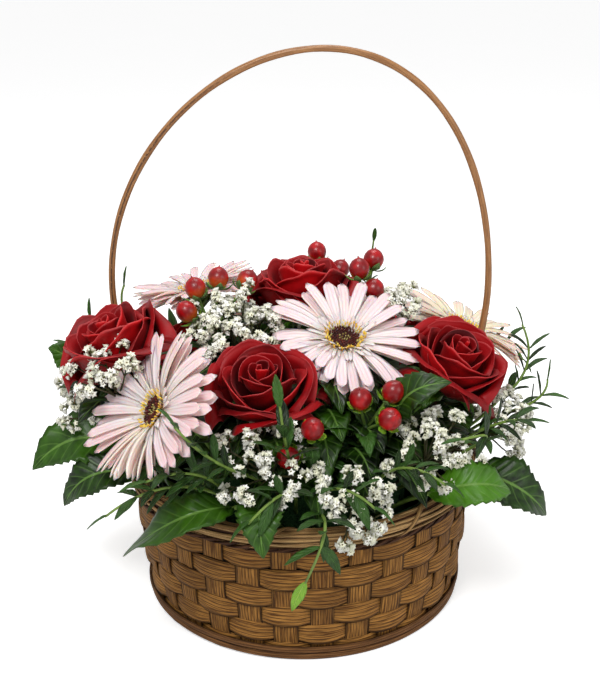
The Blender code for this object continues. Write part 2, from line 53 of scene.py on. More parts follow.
Array = np.ndarray
Point = tuple[float, float, float]
Colour = tuple[float, ...]      # display levels of 0 to 255, or a linear colour and its alpha
Form = Callable[[Array, Array], Array]
Material = bpy.types.Material

UP = np.array((0.0, 0.0, 1.0))
RIGHT = np.array((1.0, 0.0, 0.0))
FULL_TURN = 2 * math.pi
GOLDEN_ANGLE = math.radians(137.508)
WELD = 1e-6                     # points closer than this are one point
MILLIMETRES = 1000              # in a metre


# ---------------------------------------------------------------- numbers and curves

def shader_colour(colour: Colour) -> Colour:
    """Turn three display levels into the shader's linear colour; four numbers stay as they are."""
    def linear(level: float) -> float:
        """Decode one level."""
        share = level / 255
        return share / 12.92 if share <= 0.04045 else ((share + 0.055) / 1.055) ** 2.4
    return colour if len(colour) == 4 else (*map(linear, colour), 1.0)


def metres(point: Point) -> Point:
    """Turn a point in millimetres into metres."""
    return tuple(value / MILLIMETRES for value in point)


def outward(turn: float, rise: float = 0.0) -> Array:
    """Level way at an angle from +X, or one that rises."""
    return np.array((math.cos(turn), math.sin(turn), rise))


def unit(vector: Array) -> Array:
    """Scale vectors to a length of one, along the last axis."""
    length = np.linalg.norm(vector, axis=-1, keepdims=True)
    return vector / np.maximum(length, 1e-12)


def ease(value: Array, low: float, high: float) -> Array:
    """Rise smoothly from 0 at low to 1 at high."""
    share = np.clip((value - low) / (high - low), 0, 1)
    return share * share * (3 - 2 * share)


def hermite(start: Array, start_way: Array, end: Array, end_way: Array, count: int) -> Array:
    """Points of a smooth curve between two ends with given ways there."""
    t = np.linspace(0, 1, count + 1)[:, None]
    return ((2 * t**3 - 3 * t**2 + 1) * start + (t**3 - 2 * t**2 + t) * start_way
            + (3 * t**2 - 2 * t**3) * end + (t**3 - t**2) * end_way)


def bent(base: Array, middle: Array, tip: Array, t: Array) -> Array:
    """Points at t along the arc that passes through base, middle and tip."""
    t = np.asarray(t)[..., None]
    return (base * (1 - t) * (1 - 2 * t) + middle * 4 * t * (1 - t) + tip * t * (2 * t - 1))


def head_frame(place: Point, facing: Point, spin: float = 0.0) -> Matrix:
    """Frame of a flower head: +Z along its facing, +X as near as can be to the basket's +X."""
    ahead = Vector(facing).normalized()
    right = (Vector((1, 0, 0)) - ahead * ahead.x).normalized()
    back = ahead.cross(right)
    turned = Matrix((right, back, ahead)).transposed().to_4x4()
    return Matrix.Translation(place) @ turned @ Matrix.Rotation(spin, 4, "Z")


def carried_frames(path: Array) -> tuple[Array, Array]:
    """Side and top ways at each point of a path, carried along it without a twist."""
    ways = unit(np.gradient(path, axis=0))
    side = np.cross(ways[0], UP)
    side = unit(side) if np.linalg.norm(side) > 0.05 else RIGHT
    sides = []
    for way in ways:
        side = unit(side - way * np.dot(side, way))
        sides.append(side)
    sides = np.array(sides)
    return sides, np.cross(sides, ways)


# ---------------------------------------------------------------- shapes

def skinned(skins: Sequence[Array]) -> bpy.types.Mesh:
    """Lay one grid on each skin and weld their borders into one closed shape.

    Args:
        skins: points of each skin, as rows along by columns across by three.

    Returns:
        A mesh whose faces carry their skin's number as material index, with u across and v along.
    """
    bm = bmesh.new()
    bm.loops.layers.uv.new("UVMap")
    bm.verts.layers.float.new("tone")
    for number, skin in enumerate(skins):
        along, across = skin.shape[0] - 1, skin.shape[1] - 1
        grid = bmesh.ops.create_grid(bm, x_segments=across, y_segments=along, size=0.5,
                                     calc_uvs=True)
        for vert in grid["verts"]:
            row, column = round((vert.co.y + 0.5) * along), round((vert.co.x + 0.5) * across)
            for face in vert.link_faces:
                face.material_index = number
                face.smooth = True
            vert.co = skin[row, column]
    bmesh.ops.remove_doubles(bm, verts=bm.verts, dist=WELD)
    bmesh.ops.recalc_face_normals(bm, faces=bm.faces)
    mesh = bpy.data.meshes.new("shape")
    bm.to_mesh(mesh)
    bm.free()
    return mesh


def blade(form: Form, across: int, along: int, thickness: float) -> bpy.types.Mesh:
    """Thin closed sheet on the middle surface that a form gives; skin 0 is its upper side."""
    u, v = np.meshgrid(np.linspace(0, 1, across + 1), np.linspace(0, 1, along + 1))
    middle = form(u, v)
    normal = unit(np.cross(np.gradient(middle, axis=1), np.gradient(middle, axis=0)))
    half = np.zeros_like(middle)
    half[1:-1, 1:-1] = normal[1:-1, 1:-1] * thickness / 2
    return skinned([middle + half, middle - half])


def tube(path: Array, radii: Array | float, sides: int = 6,
         dents: Callable[[Array], Array] | None = None) -> bpy.types.Mesh:
    """Closed round tube along a path; dents scales its radius by the turn round it."""
    side, top = carried_frames(path)
    turn = np.linspace(0, FULL_TURN, sides + 1)
    reach = np.broadcast_to(np.asarray(radii, float), len(path))[:, None]
    reach = reach * (dents(turn)[None, :] if dents else 1)
    turn = turn[None, :, None]
    ring = side[:, None] * np.cos(turn) + top[:, None] * np.sin(turn)
    skin = path[:, None] + ring * reach[..., None]
    ends = [np.repeat(path[index][None, None], sides + 1, axis=1) for index in (0, -1)]
    return skinned([np.concatenate([ends[0], skin, ends[1]])])


def ribbon(path: Array, way_out: Array, width: Array | float, thickness: float,
           across: int = 4) -> bpy.types.Mesh:
    """Flat strip along a path, closed on itself where the path is; skin 0 is its outer side."""
    closed = np.linalg.norm(path[0] - path[-1]) < WELD
    ways = np.gradient(path, axis=0)
    if closed:
        ways[0] = ways[-1] = path[1] - path[-2]
    side = unit(np.cross(unit(ways), way_out))
    normal = unit(np.cross(side, ways))
    u = np.linspace(-1, 1, across + 1)
    half = np.broadcast_to(np.asarray(width, float), len(path))[:, None, None] / 2
    middle = path[:, None] + side[:, None] * u[None, :, None] * half
    swell = normal[:, None] * (1 - u[None, :, None] ** 4) * thickness / 2
    if not closed:
        swell[0] = swell[-1] = 0
    return skinned([middle + swell, middle - swell])


def turned_solid(profile: Sequence[tuple[float, float]], sides: int) -> bpy.types.Mesh:
    """Solid turned about Z from a profile of (radius, height) that starts and ends on the axis."""
    radius, height = np.array(profile).T
    turn = np.linspace(0, FULL_TURN, sides + 1)
    skin = np.stack([radius[:, None] * np.cos(turn), radius[:, None] * np.sin(turn),
                     np.repeat(height[:, None], sides + 1, axis=1)], axis=-1)
    return skinned([skin])


class Piece:
    """One visible piece: gathers finished shapes into one mesh on its own materials."""

    def __init__(self, name: str, slot: str, nodes: Sequence[str],
                 finishes: Sequence[Material]) -> None:
        """Start an empty piece that will stand for the given plain solids."""
        self.name, self.slot, self.nodes, self.finishes = name, slot, nodes, finishes
        self.bm = bmesh.new()
        self.bm.loops.layers.uv.new("UVMap")
        self.bm.verts.layers.float.new("tone")

    def add(self, shape: bpy.types.Mesh, place: Matrix | None = None, tone: float = 0.5,
            finish: int = 0, under: int | None = None, keep: bool = False) -> None:
        """Add a shape, or a copy of it.

        Args:
            shape: mesh from skinned().
            place: where a copy goes; the shape's own place if none.
            tone: shade of this one, from 0 to 1, which the materials read.
            finish: number of the material of its upper skin.
            under: number of the material of its lower skin, if that differs.
            keep: leave the shape for further copies.
        """
        mesh = shape.copy() if keep else shape
        if place:
            mesh.transform(place)
        mesh.attributes["tone"].data.foreach_set("value", np.full(len(mesh.vertices), tone))
        skins = np.zeros(len(mesh.polygons), np.int32)
        mesh.polygons.foreach_get("material_index", skins)
        lower = finish if under is None else under
        mesh.polygons.foreach_set("material_index", np.where(skins == 0, finish, lower))
        self.bm.from_mesh(mesh)
        bpy.data.meshes.remove(mesh)

    def stand(self) -> bpy.types.Object:
        """Make the object, let it ride on the basket and hide what it stands for."""
        mesh = bpy.data.meshes.new(self.name)
        self.bm.to_mesh(mesh)
        self.bm.free()
        for finish in self.finishes:
            mesh.materials.append(finish)
        piece = bpy.data.objects.new(self.name, mesh)
        bpy.context.scene.collection.objects.link(piece)
        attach(piece, "root")
        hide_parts(*self.nodes)
        LOG.info("%s: %d faces", self.name, len(mesh.polygons))
        return piece


# ---------------------------------------------------------------- finishes

class Wire:
    """What a node gives, with the commonest sums of the Math node as operators."""

    def __init__(self, paint: "Paint", socket: bpy.types.NodeSocket) -> None:
        """Wrap an output of a node."""
        self.paint, self.socket = paint, socket

    def __mul__(self, other: "Wire | float") -> "Wire":
        """Multiply."""
        return self.paint.calc("MULTIPLY", self, other)

    def __add__(self, other: "Wire | float") -> "Wire":
        """Add."""
        return self.paint.calc("ADD", self, other)

    def __sub__(self, other: "Wire | float") -> "Wire":
        """Subtract."""
        return self.paint.calc("SUBTRACT", self, other)

    def __abs__(self) -> "Wire":
        """Drop the sign."""
        return self.paint.calc("ABSOLUTE", self)

    def line(self, factor: "Wire | float", offset: "Wire | float") -> "Wire":
        """Multiply and add in one node."""
        return self.paint.calc("MULTIPLY_ADD", self, factor, offset)

    def step(self, low: float, high: float) -> "Wire":
        """Rise smoothly from 0 at low to 1 at high, or fall where high is the lower."""
        node = self.paint.node("ShaderNodeMapRange", interpolation_type="SMOOTHSTEP")
        for part, target in zip((self, low, high), node.inputs):
            self.paint.plug(part, target)
        return Wire(self.paint, node.outputs[0])


class Paint:
    """Nodes of one procedural material round its Principled shader."""

    def __init__(self, name: str, **constants: float | Colour) -> None:
        """Start a material with constant shader sockets, named with _ for each space."""
        self.material = bpy.data.materials.new(name)
        self.material.use_nodes = True
        self.tree = self.material.node_tree
        self.shader = self.tree.nodes["Principled BSDF"]
        for socket, value in constants.items():
            self.shader.inputs[socket.replace("_", " ")].default_value = value

    def node(self, kind: str, **settings: object) -> bpy.types.Node:
        """Add a node with the given settings."""
        node = self.tree.nodes.new(kind)
        for key, value in settings.items():
            setattr(node, key, value)
        return node

    def plug(self, source: Wire | Colour | float, target: bpy.types.NodeSocket) -> None:
        """Link a wire, or set a plain number or colour."""
        if isinstance(source, Wire):
            self.tree.links.new(source.socket, target)
        else:
            target.default_value = shader_colour(source) if isinstance(source, tuple) else source

    def calc(self, operation: str, *values: Wire | float) -> Wire:
        """Do one sum of the Math node."""
        node = self.node("ShaderNodeMath", operation=operation)
        for value, target in zip(values, node.inputs):
            self.plug(value, target)
        return Wire(self, node.outputs[0])

    def split(self, source: Wire) -> tuple[Wire, Wire]:
        """First two of the three numbers that a wire holds."""
        node = self.node("ShaderNodeSeparateXYZ")
        self.plug(source, node.inputs[0])
        return Wire(self, node.outputs[0]), Wire(self, node.outputs[1])

    def uv(self) -> tuple[Wire, Wire]:
        """Across and along of a shape."""
        return self.split(Wire(self, self.node("ShaderNodeUVMap", uv_map="UVMap").outputs[0]))

    def tone(self) -> Wire:
        """Shade of the shape that a point belongs to."""
        return Wire(self, self.node("ShaderNodeAttribute", attribute_name="tone").outputs["Fac"])

    def place(self) -> Wire:
        """Place of a point in the basket's frame."""
        return Wire(self, self.node("ShaderNodeTexCoord").outputs["Object"])

    def noise(self, vector: Wire | tuple[Wire, ...], scale: float, detail: float = 2.0) -> Wire:
        """Soft random pattern from 0 to 1, on one vector or on the three numbers of one."""
        node = self.node("ShaderNodeTexNoise")
        if isinstance(vector, tuple):
            join = self.node("ShaderNodeCombineXYZ")
            for part, target in zip(vector, join.inputs):
                self.plug(part, target)
            vector = Wire(self, join.outputs[0])
        self.plug(vector, node.inputs["Vector"])
        self.plug(scale, node.inputs["Scale"])
        self.plug(detail, node.inputs["Detail"])
        return Wire(self, node.outputs["Fac"])

    def mix(self, share: Wire, first: Wire | Colour, second: Wire | Colour) -> Wire:
        """Go from the first colour to the second."""
        node = self.node("ShaderNodeMix", data_type="RGBA")
        for part, socket in ((share, 0), (first, 6), (second, 7)):      # 6 and 7 are its colours
            self.plug(part, node.inputs[socket])
        return Wire(self, node.outputs[2])

    def ramp(self, share: Wire, *stops: tuple[float, Colour]) -> Wire:
        """Run through colours at given stops."""
        node = self.node("ShaderNodeValToRGB")
        elements = node.color_ramp.elements
        while len(elements) < len(stops):
            elements.new(0.5)
        for element, (position, colour) in zip(elements, stops):
            element.position, element.color = position, shader_colour(colour)
        self.plug(share, node.inputs[0])
        return Wire(self, node.outputs[0])

    def side_distance(self, across: Wire) -> Wire:
        """0 on the middle line of a shape, 1 on its two sides."""
        return abs(across.line(2.0, -1.0))

    def done(self, colour: Wire, height: Wire, depth: float, strength: float) -> Material:
        """Feed the shader a colour and a relief of the given depth, and return the material."""
        self.plug(colour, self.shader.inputs["Base Color"])
        bump = self.node("ShaderNodeBump")
        self.plug(strength, bump.inputs["Strength"])
        self.plug(depth, bump.inputs["Distance"])
        self.plug(height, bump.inputs["Height"])
        self.plug(Wire(self, bump.outputs[0]), self.shader.inputs["Normal"])
        return self.material


@dataclass(frozen=True)
class SplitBamboo:
    """Flat bamboo split: long grain, a few dark lengthwise lines, painted shade at its edges."""

    name: str
    light: Colour
    dark: Colour
    # deep colours the dark lines, and the painted shade along the edges
    deep: Colour
    length: float               # length that v runs over
    lines: float = 2.0          # dark lines across its width
    gloss: float = 0.35
    edge: float = 0.80          # where the painted shade along its edges starts, from its middle line out

    def make(self) -> Material:
        """Build the material."""
        paint = Paint(self.name, Roughness=1 - self.gloss, Specular_IOR_Level=0.22)
        u, v = paint.uv()
        tone = paint.tone()
        shift = tone * 37.0
        run = v * (self.length * MILLIMETRES)
        grain = paint.noise((u * 40.0, run * 0.07, shift), 1.0, 4.0)
        wander = paint.noise((u * 2.0, run * 0.05, shift), 1.0, 1.0)
        blotch = paint.noise((u * 1.5, run * 0.06, shift), 1.0, 2.0)
        near = abs(paint.calc("FRACT", u * self.lines + wander * 0.9) - 0.5)
        line = near.step(0.34, 0.47) * grain.step(0.32, 0.52)
        # painted shade along both edges, where the strips meet and overlap
        edge = paint.side_distance(u).step(self.edge, 1.0)
        colour = paint.ramp(grain, (0.38, self.dark), (0.60, self.light))
        colour = paint.mix(blotch.step(0.45, 0.8) * 0.45, colour, self.dark)
        colour = paint.mix(tone.step(1.0, 0.0) * 0.45, colour, self.dark)
        colour = paint.mix(line * 0.85, colour, self.deep)
        colour = paint.mix(edge * 0.85, colour, self.deep)
        height = grain * 0.5 - paint.calc("MAXIMUM", line, edge)
        return paint.done(colour, height, depth=0.0003, strength=0.8)


@dataclass(frozen=True)
class HandleCane:
    """Round cane: orange tan with long streaks, split by a dark line on the left leg."""

    name: str
    light: Colour
    dark: Colour
    deep: Colour
    length: float               # length that v runs over

    def make(self) -> Material:
        """Build the material."""
        paint = Paint(self.name, Roughness=0.42, Specular_IOR_Level=0.5)
        u, v = paint.uv()
        run = v * (self.length * MILLIMETRES)
        turn = u * FULL_TURN
        ring = (paint.calc("COSINE", turn) * 2.4, paint.calc("SINE", turn) * 2.4)
        grain = paint.noise((*ring, run * 0.035), 1.6, 4.0)
        fleck = paint.noise((*ring, run * 0.4), 1.5, 2.0)
        x, _ = paint.split(paint.place())
        left = x.step(-0.02, -0.08)
        groove = abs(u - 0.25).step(0.055, 0.02) * fleck.step(0.30, 0.50) * left.line(0.75, 0.15)
        colour = paint.ramp(grain, (0.30, self.dark), (0.62, self.light))
        colour = paint.mix(fleck.step(0.62, 0.75) * 0.5, colour, self.dark)
        colour = paint.mix(groove, colour, self.deep)
        return paint.done(colour, grain - groove, depth=0.0003, strength=0.6)


@dataclass(frozen=True)
class VelvetPetal:
    """Rose petal: velvet, painted shade at its foot, fine veins, painted highlight on the rim."""

    name: str
    body: Colour
    # deep: painted shade at the petal's foot, deep in the head, and darker patches at random
    deep: Colour
    # rim: painted highlight along the petal's edge
    rim: Colour

    def make(self) -> Material:
        """Build the material."""
        paint = Paint(self.name, Roughness=0.50, Specular_IOR_Level=0.25, Sheen_Weight=0.10,
                      Sheen_Roughness=0.4, Sheen_Tint=(1.0, 0.25, 0.25, 1.0))
        u, v = paint.uv()
        tone = paint.tone()
        vein = paint.noise((u * 34.0, v * 3.0, tone), 1.0, 3.0)
        cloud = paint.noise(paint.place(), 90.0)
        # painted shade: darker towards the petal's foot, deep inside the head
        colour = paint.mix(v.step(0.15, 0.80), self.deep, self.body)
        shade = cloud.line(0.6, tone.line(-0.55, 0.15))
        colour = paint.mix(shade.step(0.05, 0.60), colour, self.deep)
        # painted highlight: paler along the rim and the upper sides
        rim = paint.calc("MAXIMUM", v.step(0.955, 1.0), paint.side_distance(u).step(0.94, 1.0))
        rim = rim * v.step(0.55, 0.85) * vein.line(0.9, 0.15)
        colour = paint.mix(rim, colour, self.rim)
        return paint.done(colour, vein, depth=0.00025, strength=0.45)


@dataclass(frozen=True)
class RibbedPetal:
    """Gerbera petal: long fine ribs, and colours that run from its foot to its tip."""

    name: str
    foot: Colour
    body: Colour
    tip: Colour
    rib: Colour

    def make(self) -> Material:
        """Build the material."""
        paint = Paint(self.name, Roughness=0.48, Specular_IOR_Level=0.3, Subsurface_Weight=0.35,
                      Subsurface_Scale=0.006)
        u, v = paint.uv()
        tone = paint.tone()
        fine = paint.noise((u * 30.0, v * 1.6, tone * 29.0), 1.0)
        wave = paint.calc("COSINE", u * (3 * FULL_TURN))
        groove = wave.step(0.3, 1.0) * v.step(1.0, 0.75)
        colour = paint.ramp(v + tone.line(0.3, -0.15), (0.0, self.foot), (0.45, self.body),
                            (1.0, self.tip))
        colour = paint.mix(groove * 0.30, colour, self.rib)
        colour = paint.mix(fine.step(0.45, 0.8) * 0.30, colour, self.rib)
        return paint.done(colour, fine * 0.4 - groove, depth=0.0003, strength=0.7)


@dataclass(frozen=True)
class VeinedLeaf:
    """Leaf: pale midrib, arching side veins, mottled green and a light edge."""

    name: str
    light: Colour
    dark: Colour
    vein: Colour
    pairs: float = 8.0          # side veins along each half
    gloss: float = 0.60

    def make(self) -> Material:
        """Build the material."""
        paint = Paint(self.name, Roughness=1 - self.gloss, Specular_IOR_Level=0.34)
        u, v = paint.uv()
        side = paint.side_distance(u)
        mottle = paint.noise(paint.place(), 160.0, 3.0)
        reach = paint.calc("POWER", side, 0.8) * 1.6
        near = abs(paint.calc("FRACT", v * self.pairs - reach) - 0.5)
        branch = near.step(0.10, 0.02) * side.step(1.0, 0.6)
        rib = side.step(0.09, 0.03)
        # tone sets the brightness; for the broad leaves it partly paints light and shade
        shade = mottle * 0.55 + paint.tone() * 0.75
        colour = paint.ramp(shade, (0.25, self.dark), (0.95, self.light))
        colour = paint.mix(branch * 0.28, colour, self.vein)
        colour = paint.mix(side.step(0.93, 1.0) * 0.30, colour, self.vein)
        colour = paint.mix(rib * 0.75, colour, self.vein)
        height = mottle.line(0.2, near.step(0.0, 0.35)) - rib
        return paint.done(colour, height, depth=0.0004, strength=0.7)


@dataclass(frozen=True)
class BerrySkin:
    """Hypericum berry: glossy red, yellower at its foot, with a dark tip."""

    name: str
    red: Colour
    deep: Colour
    foot: Colour
    tip: Colour

    def make(self) -> Material:
        """Build the material."""
        paint = Paint(self.name, Roughness=0.36, Specular_IOR_Level=0.4, Coat_Weight=0.18,
                      Coat_Roughness=0.18)
        u, v = paint.uv()
        cloud = paint.noise(paint.place(), 160.0, 1.0)
        ridge = paint.calc("COSINE", u * (3 * FULL_TURN)).step(0.80, 1.0)
        colour = paint.mix(cloud.step(0.35, 0.70), self.deep, self.red)
        colour = paint.mix(ridge * 0.45, colour, self.deep)
        warm = v.step(0.45, 0.10) * paint.tone().step(0.3, 1.0)
        colour = paint.mix(warm, colour, self.foot)
        colour = paint.mix(v.step(0.90, 0.96), colour, self.tip)
        return paint.done(colour, cloud * 0.3 - ridge, depth=0.0002, strength=0.35)


@dataclass(frozen=True)
class FloretPaper:
    """Statice floret: papery cream petals round a dark eye, green below."""

    name: str
    petal: Colour
    shade: Colour
    eye: Colour
    cup: Colour

    def make(self) -> Material:
        """Build the material."""
        paint = Paint(self.name, Roughness=0.62, Specular_IOR_Level=0.25)
        _, v = paint.uv()
        crinkle = paint.noise(paint.place(), 900.0)
        shade = crinkle * 0.5 + paint.tone() * 0.5
        colour = paint.mix(shade.step(0.25, 0.75), self.shade, self.petal)
        colour = paint.mix(v.step(0.24, 0.12), colour, self.eye)
        colour = paint.mix(v.step(0.62, 0.80), colour, self.cup)
        return paint.done(colour, crinkle, depth=0.0002, strength=0.5)


@dataclass(frozen=True)
class Mottled:
    """Plain stuff of two close shades in soft or fine patches, with a fitting grain."""

    name: str
    light: Colour
    dark: Colour
    grain: float
    roughness: float = 0.60
    relief: float = 0.0002

    def make(self) -> Material:
        """Build the material."""
        paint = Paint(self.name, Roughness=self.roughness, Specular_IOR_Level=0.35)
        cloud = paint.noise(paint.place(), self.grain, 3.0)
        shade = cloud * 0.6 + paint.tone() * 0.4
        colour = paint.ramp(shade, (0.30, self.dark), (0.72, self.light))
        return paint.done(colour, cloud, depth=self.relief, strength=0.6)


@dataclass(frozen=True)
class FoamCells:
    """Wet floral foam: dark green with fine open cells."""

    name: str
    light: Colour
    dark: Colour

    def make(self) -> Material:
        """Build the material."""
        paint = Paint(self.name, Roughness=0.85, Specular_IOR_Level=0.2)
        node = paint.node("ShaderNodeTexVoronoi")
        paint.plug(paint.place(), node.inputs["Vector"])
        paint.plug(900.0, node.inputs["Scale"])
        cells = Wire(paint, node.outputs["Distance"])
        cloud = paint.noise(paint.place(), 60.0, 3.0)
        colour = paint.ramp(cells.line(0.6, cloud * 0.5), (0.25, self.dark), (0.75, self.light))
        return paint.done(colour, cells, depth=0.0004, strength=0.8)


class Finishes:
    """Every material of the arrangement, each made once."""

    def __init__(self) -> None:
        """Build the materials."""
        # For each split bamboo, edge is where the painted shade along its edges starts.
        weave = {"light": (176, 124, 58), "dark": (76, 42, 6), "deep": (18, 7, 0),
                 "edge": 0.91, "gloss": 0.30}
        self.weaver = SplitBamboo("weaver_bamboo", **weave, length=0.66, lines=6.0).make()
        self.stake = SplitBamboo("stake_bamboo", **weave, length=0.085, lines=8.0).make()
        self.band = SplitBamboo("band_bamboo", (144, 98, 54), (72, 42, 14), (22, 10, 2),
                                length=0.66, lines=3.0, edge=0.7).make()
        self.straw = SplitBamboo("rim_straw", (200, 166, 112), (128, 88, 46), (56, 30, 12),
                                 length=0.68, gloss=0.25, edge=0.72).make()
        self.lashing = SplitBamboo("lashing_straw", (176, 142, 88), (118, 80, 40), (54, 30, 14),
                                   length=0.42, gloss=0.3, edge=0.75).make()
        self.bark = SplitBamboo("dark_bark", (96, 60, 34), (60, 34, 18), (26, 13, 7),
                                length=0.68, gloss=0.25).make()
        self.cane = HandleCane("handle_cane", (166, 118, 72), (120, 76, 38), (62, 34, 12),
                               length=0.85).make()
        # rose colours: body, painted shade at the petal's foot, painted highlight on the rim
        self.rose = VelvetPetal("rose_velvet", (190, 6, 14), (88, 1, 5), (214, 78, 78)).make()
        self.rose_back = VelvetPetal("rose_velvet_back", (152, 6, 14), (70, 2, 6),
                                     (200, 74, 76)).make()
        self.gerbera = RibbedPetal("gerbera_pink", (250, 232, 224), (250, 222, 222),
                                   (249, 208, 211), (230, 164, 170)).make()
        self.gerbera_cream = RibbedPetal("gerbera_cream", (250, 230, 188), (252, 230, 204),
                                         (251, 214, 204), (236, 194, 156)).make()
        self.gerbera_under = RibbedPetal("gerbera_underside", (248, 228, 204), (250, 228, 216),
                                         (252, 230, 224), (238, 200, 186)).make()
        self.fringe = RibbedPetal("gerbera_fringe", (236, 214, 176), (250, 232, 222),
                                  (252, 228, 226), (222, 178, 160)).make()
        self.disc = Mottled("disc_maroon", (112, 40, 26), (44, 10, 6), grain=1200.0).make()
        self.disc_heart = Mottled("disc_heart", (206, 196, 120), (120, 96, 40),
                                  grain=1400.0).make()
        self.stamen = Mottled("stamen_yellow", (250, 222, 96), (220, 168, 50),
                              grain=900.0).make()
        self.berry = BerrySkin("berry_red", (178, 8, 16), (124, 5, 12), (214, 96, 36),
                               (40, 12, 8)).make()
        self.floret = FloretPaper("statice_paper", (255, 254, 248), (238, 238, 214),
                                  (104, 82, 40), (116, 122, 66)).make()
        self.twig = Mottled("twig_brown_green", (88, 92, 46), (46, 40, 24), grain=500.0).make()
        self.stem = Mottled("stem_green", (116, 142, 62), (62, 92, 34), grain=240.0,
                            roughness=0.5).make()
        self.leaf = VeinedLeaf("broad_leaf", (70, 122, 16), (4, 19, 1), (104, 142, 62)).make()
        self.leaf_under = VeinedLeaf("broad_leaf_underside", (90, 122, 62), (36, 60, 24),
                                     (128, 154, 92), gloss=0.45).make()
        self.lance = VeinedLeaf("narrow_leaf", (62, 106, 32), (4, 15, 4), (76, 112, 52),
                                pairs=5.0, gloss=0.55).make()
        self.tender = VeinedLeaf("tender_leaf", (140, 190, 46), (78, 138, 26), (180, 212, 96),
                                 pairs=5.0).make()
        self.liner = Mottled("liner_plastic", (42, 74, 48), (24, 48, 30), grain=90.0,
                             roughness=0.35).make()
        self.foam = FoamCells("wet_foam", (58, 96, 56), (24, 52, 28)).make()
        self.floor = Mottled("basket_floor_bamboo", (134, 94, 54), (86, 54, 26),
                             grain=120.0).make()


# ---------------------------------------------------------------- basket

@dataclass
class Basket:
    """Sizes that the basket's parts share."""

    foot_radius: float = 0.1015
    top_radius: float = 0.1090
    wall_height: float = 0.0785
    stakes: int = 30
    rows: int = 6
    rim_radius: float = 0.1085
    rim_half_width: float = 0.0044
    rim_half_height: float = 0.0062
    rim_z: float = 0.0864

    def wall_radius(self, z: Array | float) -> Array | float:
        """Outer radius of the wall at a height."""
        share = np.clip(z / self.wall_height, 0, 1)
        return self.foot_radius + (self.top_radius - self.foot_radius) * np.sin(share * math.pi / 2)


def round_trip(count: int) -> Array:
    """Angles once round, with the first again at the end."""
    return np.linspace(0, FULL_TURN, count + 1)


def around(angle: Array, radius: Array | float, z: Array | float) -> Array:
    """Points at angles, radii and heights round the basket."""
    return np.stack(np.broadcast_arrays(radius * np.cos(angle), radius * np.sin(angle), z), axis=-1)


@dataclass
class WovenWall:
    """Wall of level weavers that pass over and under upright stakes."""

    WEAVER, STAKE = range(2)    # its finishes

    basket: Basket
    finishes: Finishes
    weaver_width: float = 0.0134
    weaver_thickness: float = 0.0010
    stake_width: float = 0.0150
    stake_thickness: float = 0.0010
    swing: float = 0.0012
    depth: float = 0.0010       # how far the middle of the weave lies inside the wall's outside

    def swap(self, angle: Array, row: Array | int) -> Array:
        """1 where a weaver lies over its stake, -1 where it lies under, eased between."""
        wave = np.cos(angle * self.basket.stakes / 2 + math.pi * row)
        return np.sign(wave) * np.abs(wave) ** 0.7

    def build_weavers(self, piece: Piece, dice: random.Random) -> None:
        """Lay the level strips."""
        pitch = self.basket.wall_height / self.basket.rows
        angle = round_trip(self.basket.stakes * 10)
        for row in range(self.basket.rows):
            lean, size = dice.uniform(0, 6), dice.uniform(0.0002, 0.0005)
            z = pitch * (row + 0.5) + size * np.sin(2 * angle + lean) + size * np.sin(5 * angle)
            over = self.swap(angle, row)
            radius = self.basket.wall_radius(z) - self.depth + self.swing * over
            width = np.minimum(self.weaver_width * (1.0 + 0.12 * over), 2 * z - 0.0008)
            strip = ribbon(around(angle, radius, z), around(angle, 1.0, 0.0), width,
                           self.weaver_thickness, across=6)
            piece.add(strip, tone=dice.uniform(0.3, 1.0), finish=self.WEAVER)

    def build_stakes(self, piece: Piece, dice: random.Random) -> None:
        """Stand the upright strips."""
        pitch = self.basket.wall_height / self.basket.rows
        z = np.linspace(0.001, self.basket.rim_z - 0.004, 50)
        for stake in range(self.basket.stakes):
            angle = FULL_TURN * stake / self.basket.stakes
            lean = dice.uniform(-0.006, 0.006)
            over = np.cos(math.pi * (z / pitch - 0.5)) * (-1 if stake % 2 else 1)
            radius = self.basket.wall_radius(z) - self.depth - 0.25 * self.swing * over
            turn = angle + lean * z / self.basket.wall_height
            strip = ribbon(around(turn, radius, z), around(turn, 1.0, 0.0),
                           self.stake_width * dice.uniform(0.93, 1.03), self.stake_thickness)
            piece.add(strip, tone=dice.uniform(0.2, 0.9), finish=self.STAKE)

    def dress(self) -> None:
        """Make the piece."""
        piece = Piece("woven_wall_strips", "bamboo", ["woven_wall"],
                      [self.finishes.weaver, self.finishes.stake])
        dice = random.Random("wall")
        self.build_weavers(piece, dice)
        self.build_stakes(piece, dice)
        piece.stand()


@dataclass
class BaseBand:
    """Three flat canes that overlap round the basket's foot."""

    basket: Basket
    finishes: Finishes
    cane_width: float = 0.0047
    cane_thickness: float = 0.0019
    stand_off: float = 0.0016
    canes: tuple[tuple[float, float, int, float], ...] = (      # height, further out, waves, start
        (0.0032, 0.0002, 2, 0.4), (0.0078, 0.0009, 3, 2.1), (0.0056, -0.0006, 1, 4.0))

    def dress(self) -> None:
        """Make the piece."""
        piece = Piece("base_band_canes", "bamboo", ["base_band"], [self.finishes.band])
        angle = round_trip(168)
        middle = self.basket.foot_radius + self.stand_off
        for cane, (z, further, waves, start) in enumerate(self.canes):
            level = z + 0.0007 * np.sin(waves * angle + start)
            radius = middle + further + 0.0003 * np.sin(3 * angle + start)
            strip = ribbon(around(angle, radius, level), around(angle, 1.0, 0.0),
                           self.cane_width, self.cane_thickness, across=6)
            piece.add(strip, tone=0.9 - 0.3 * cane)
        piece.stand()


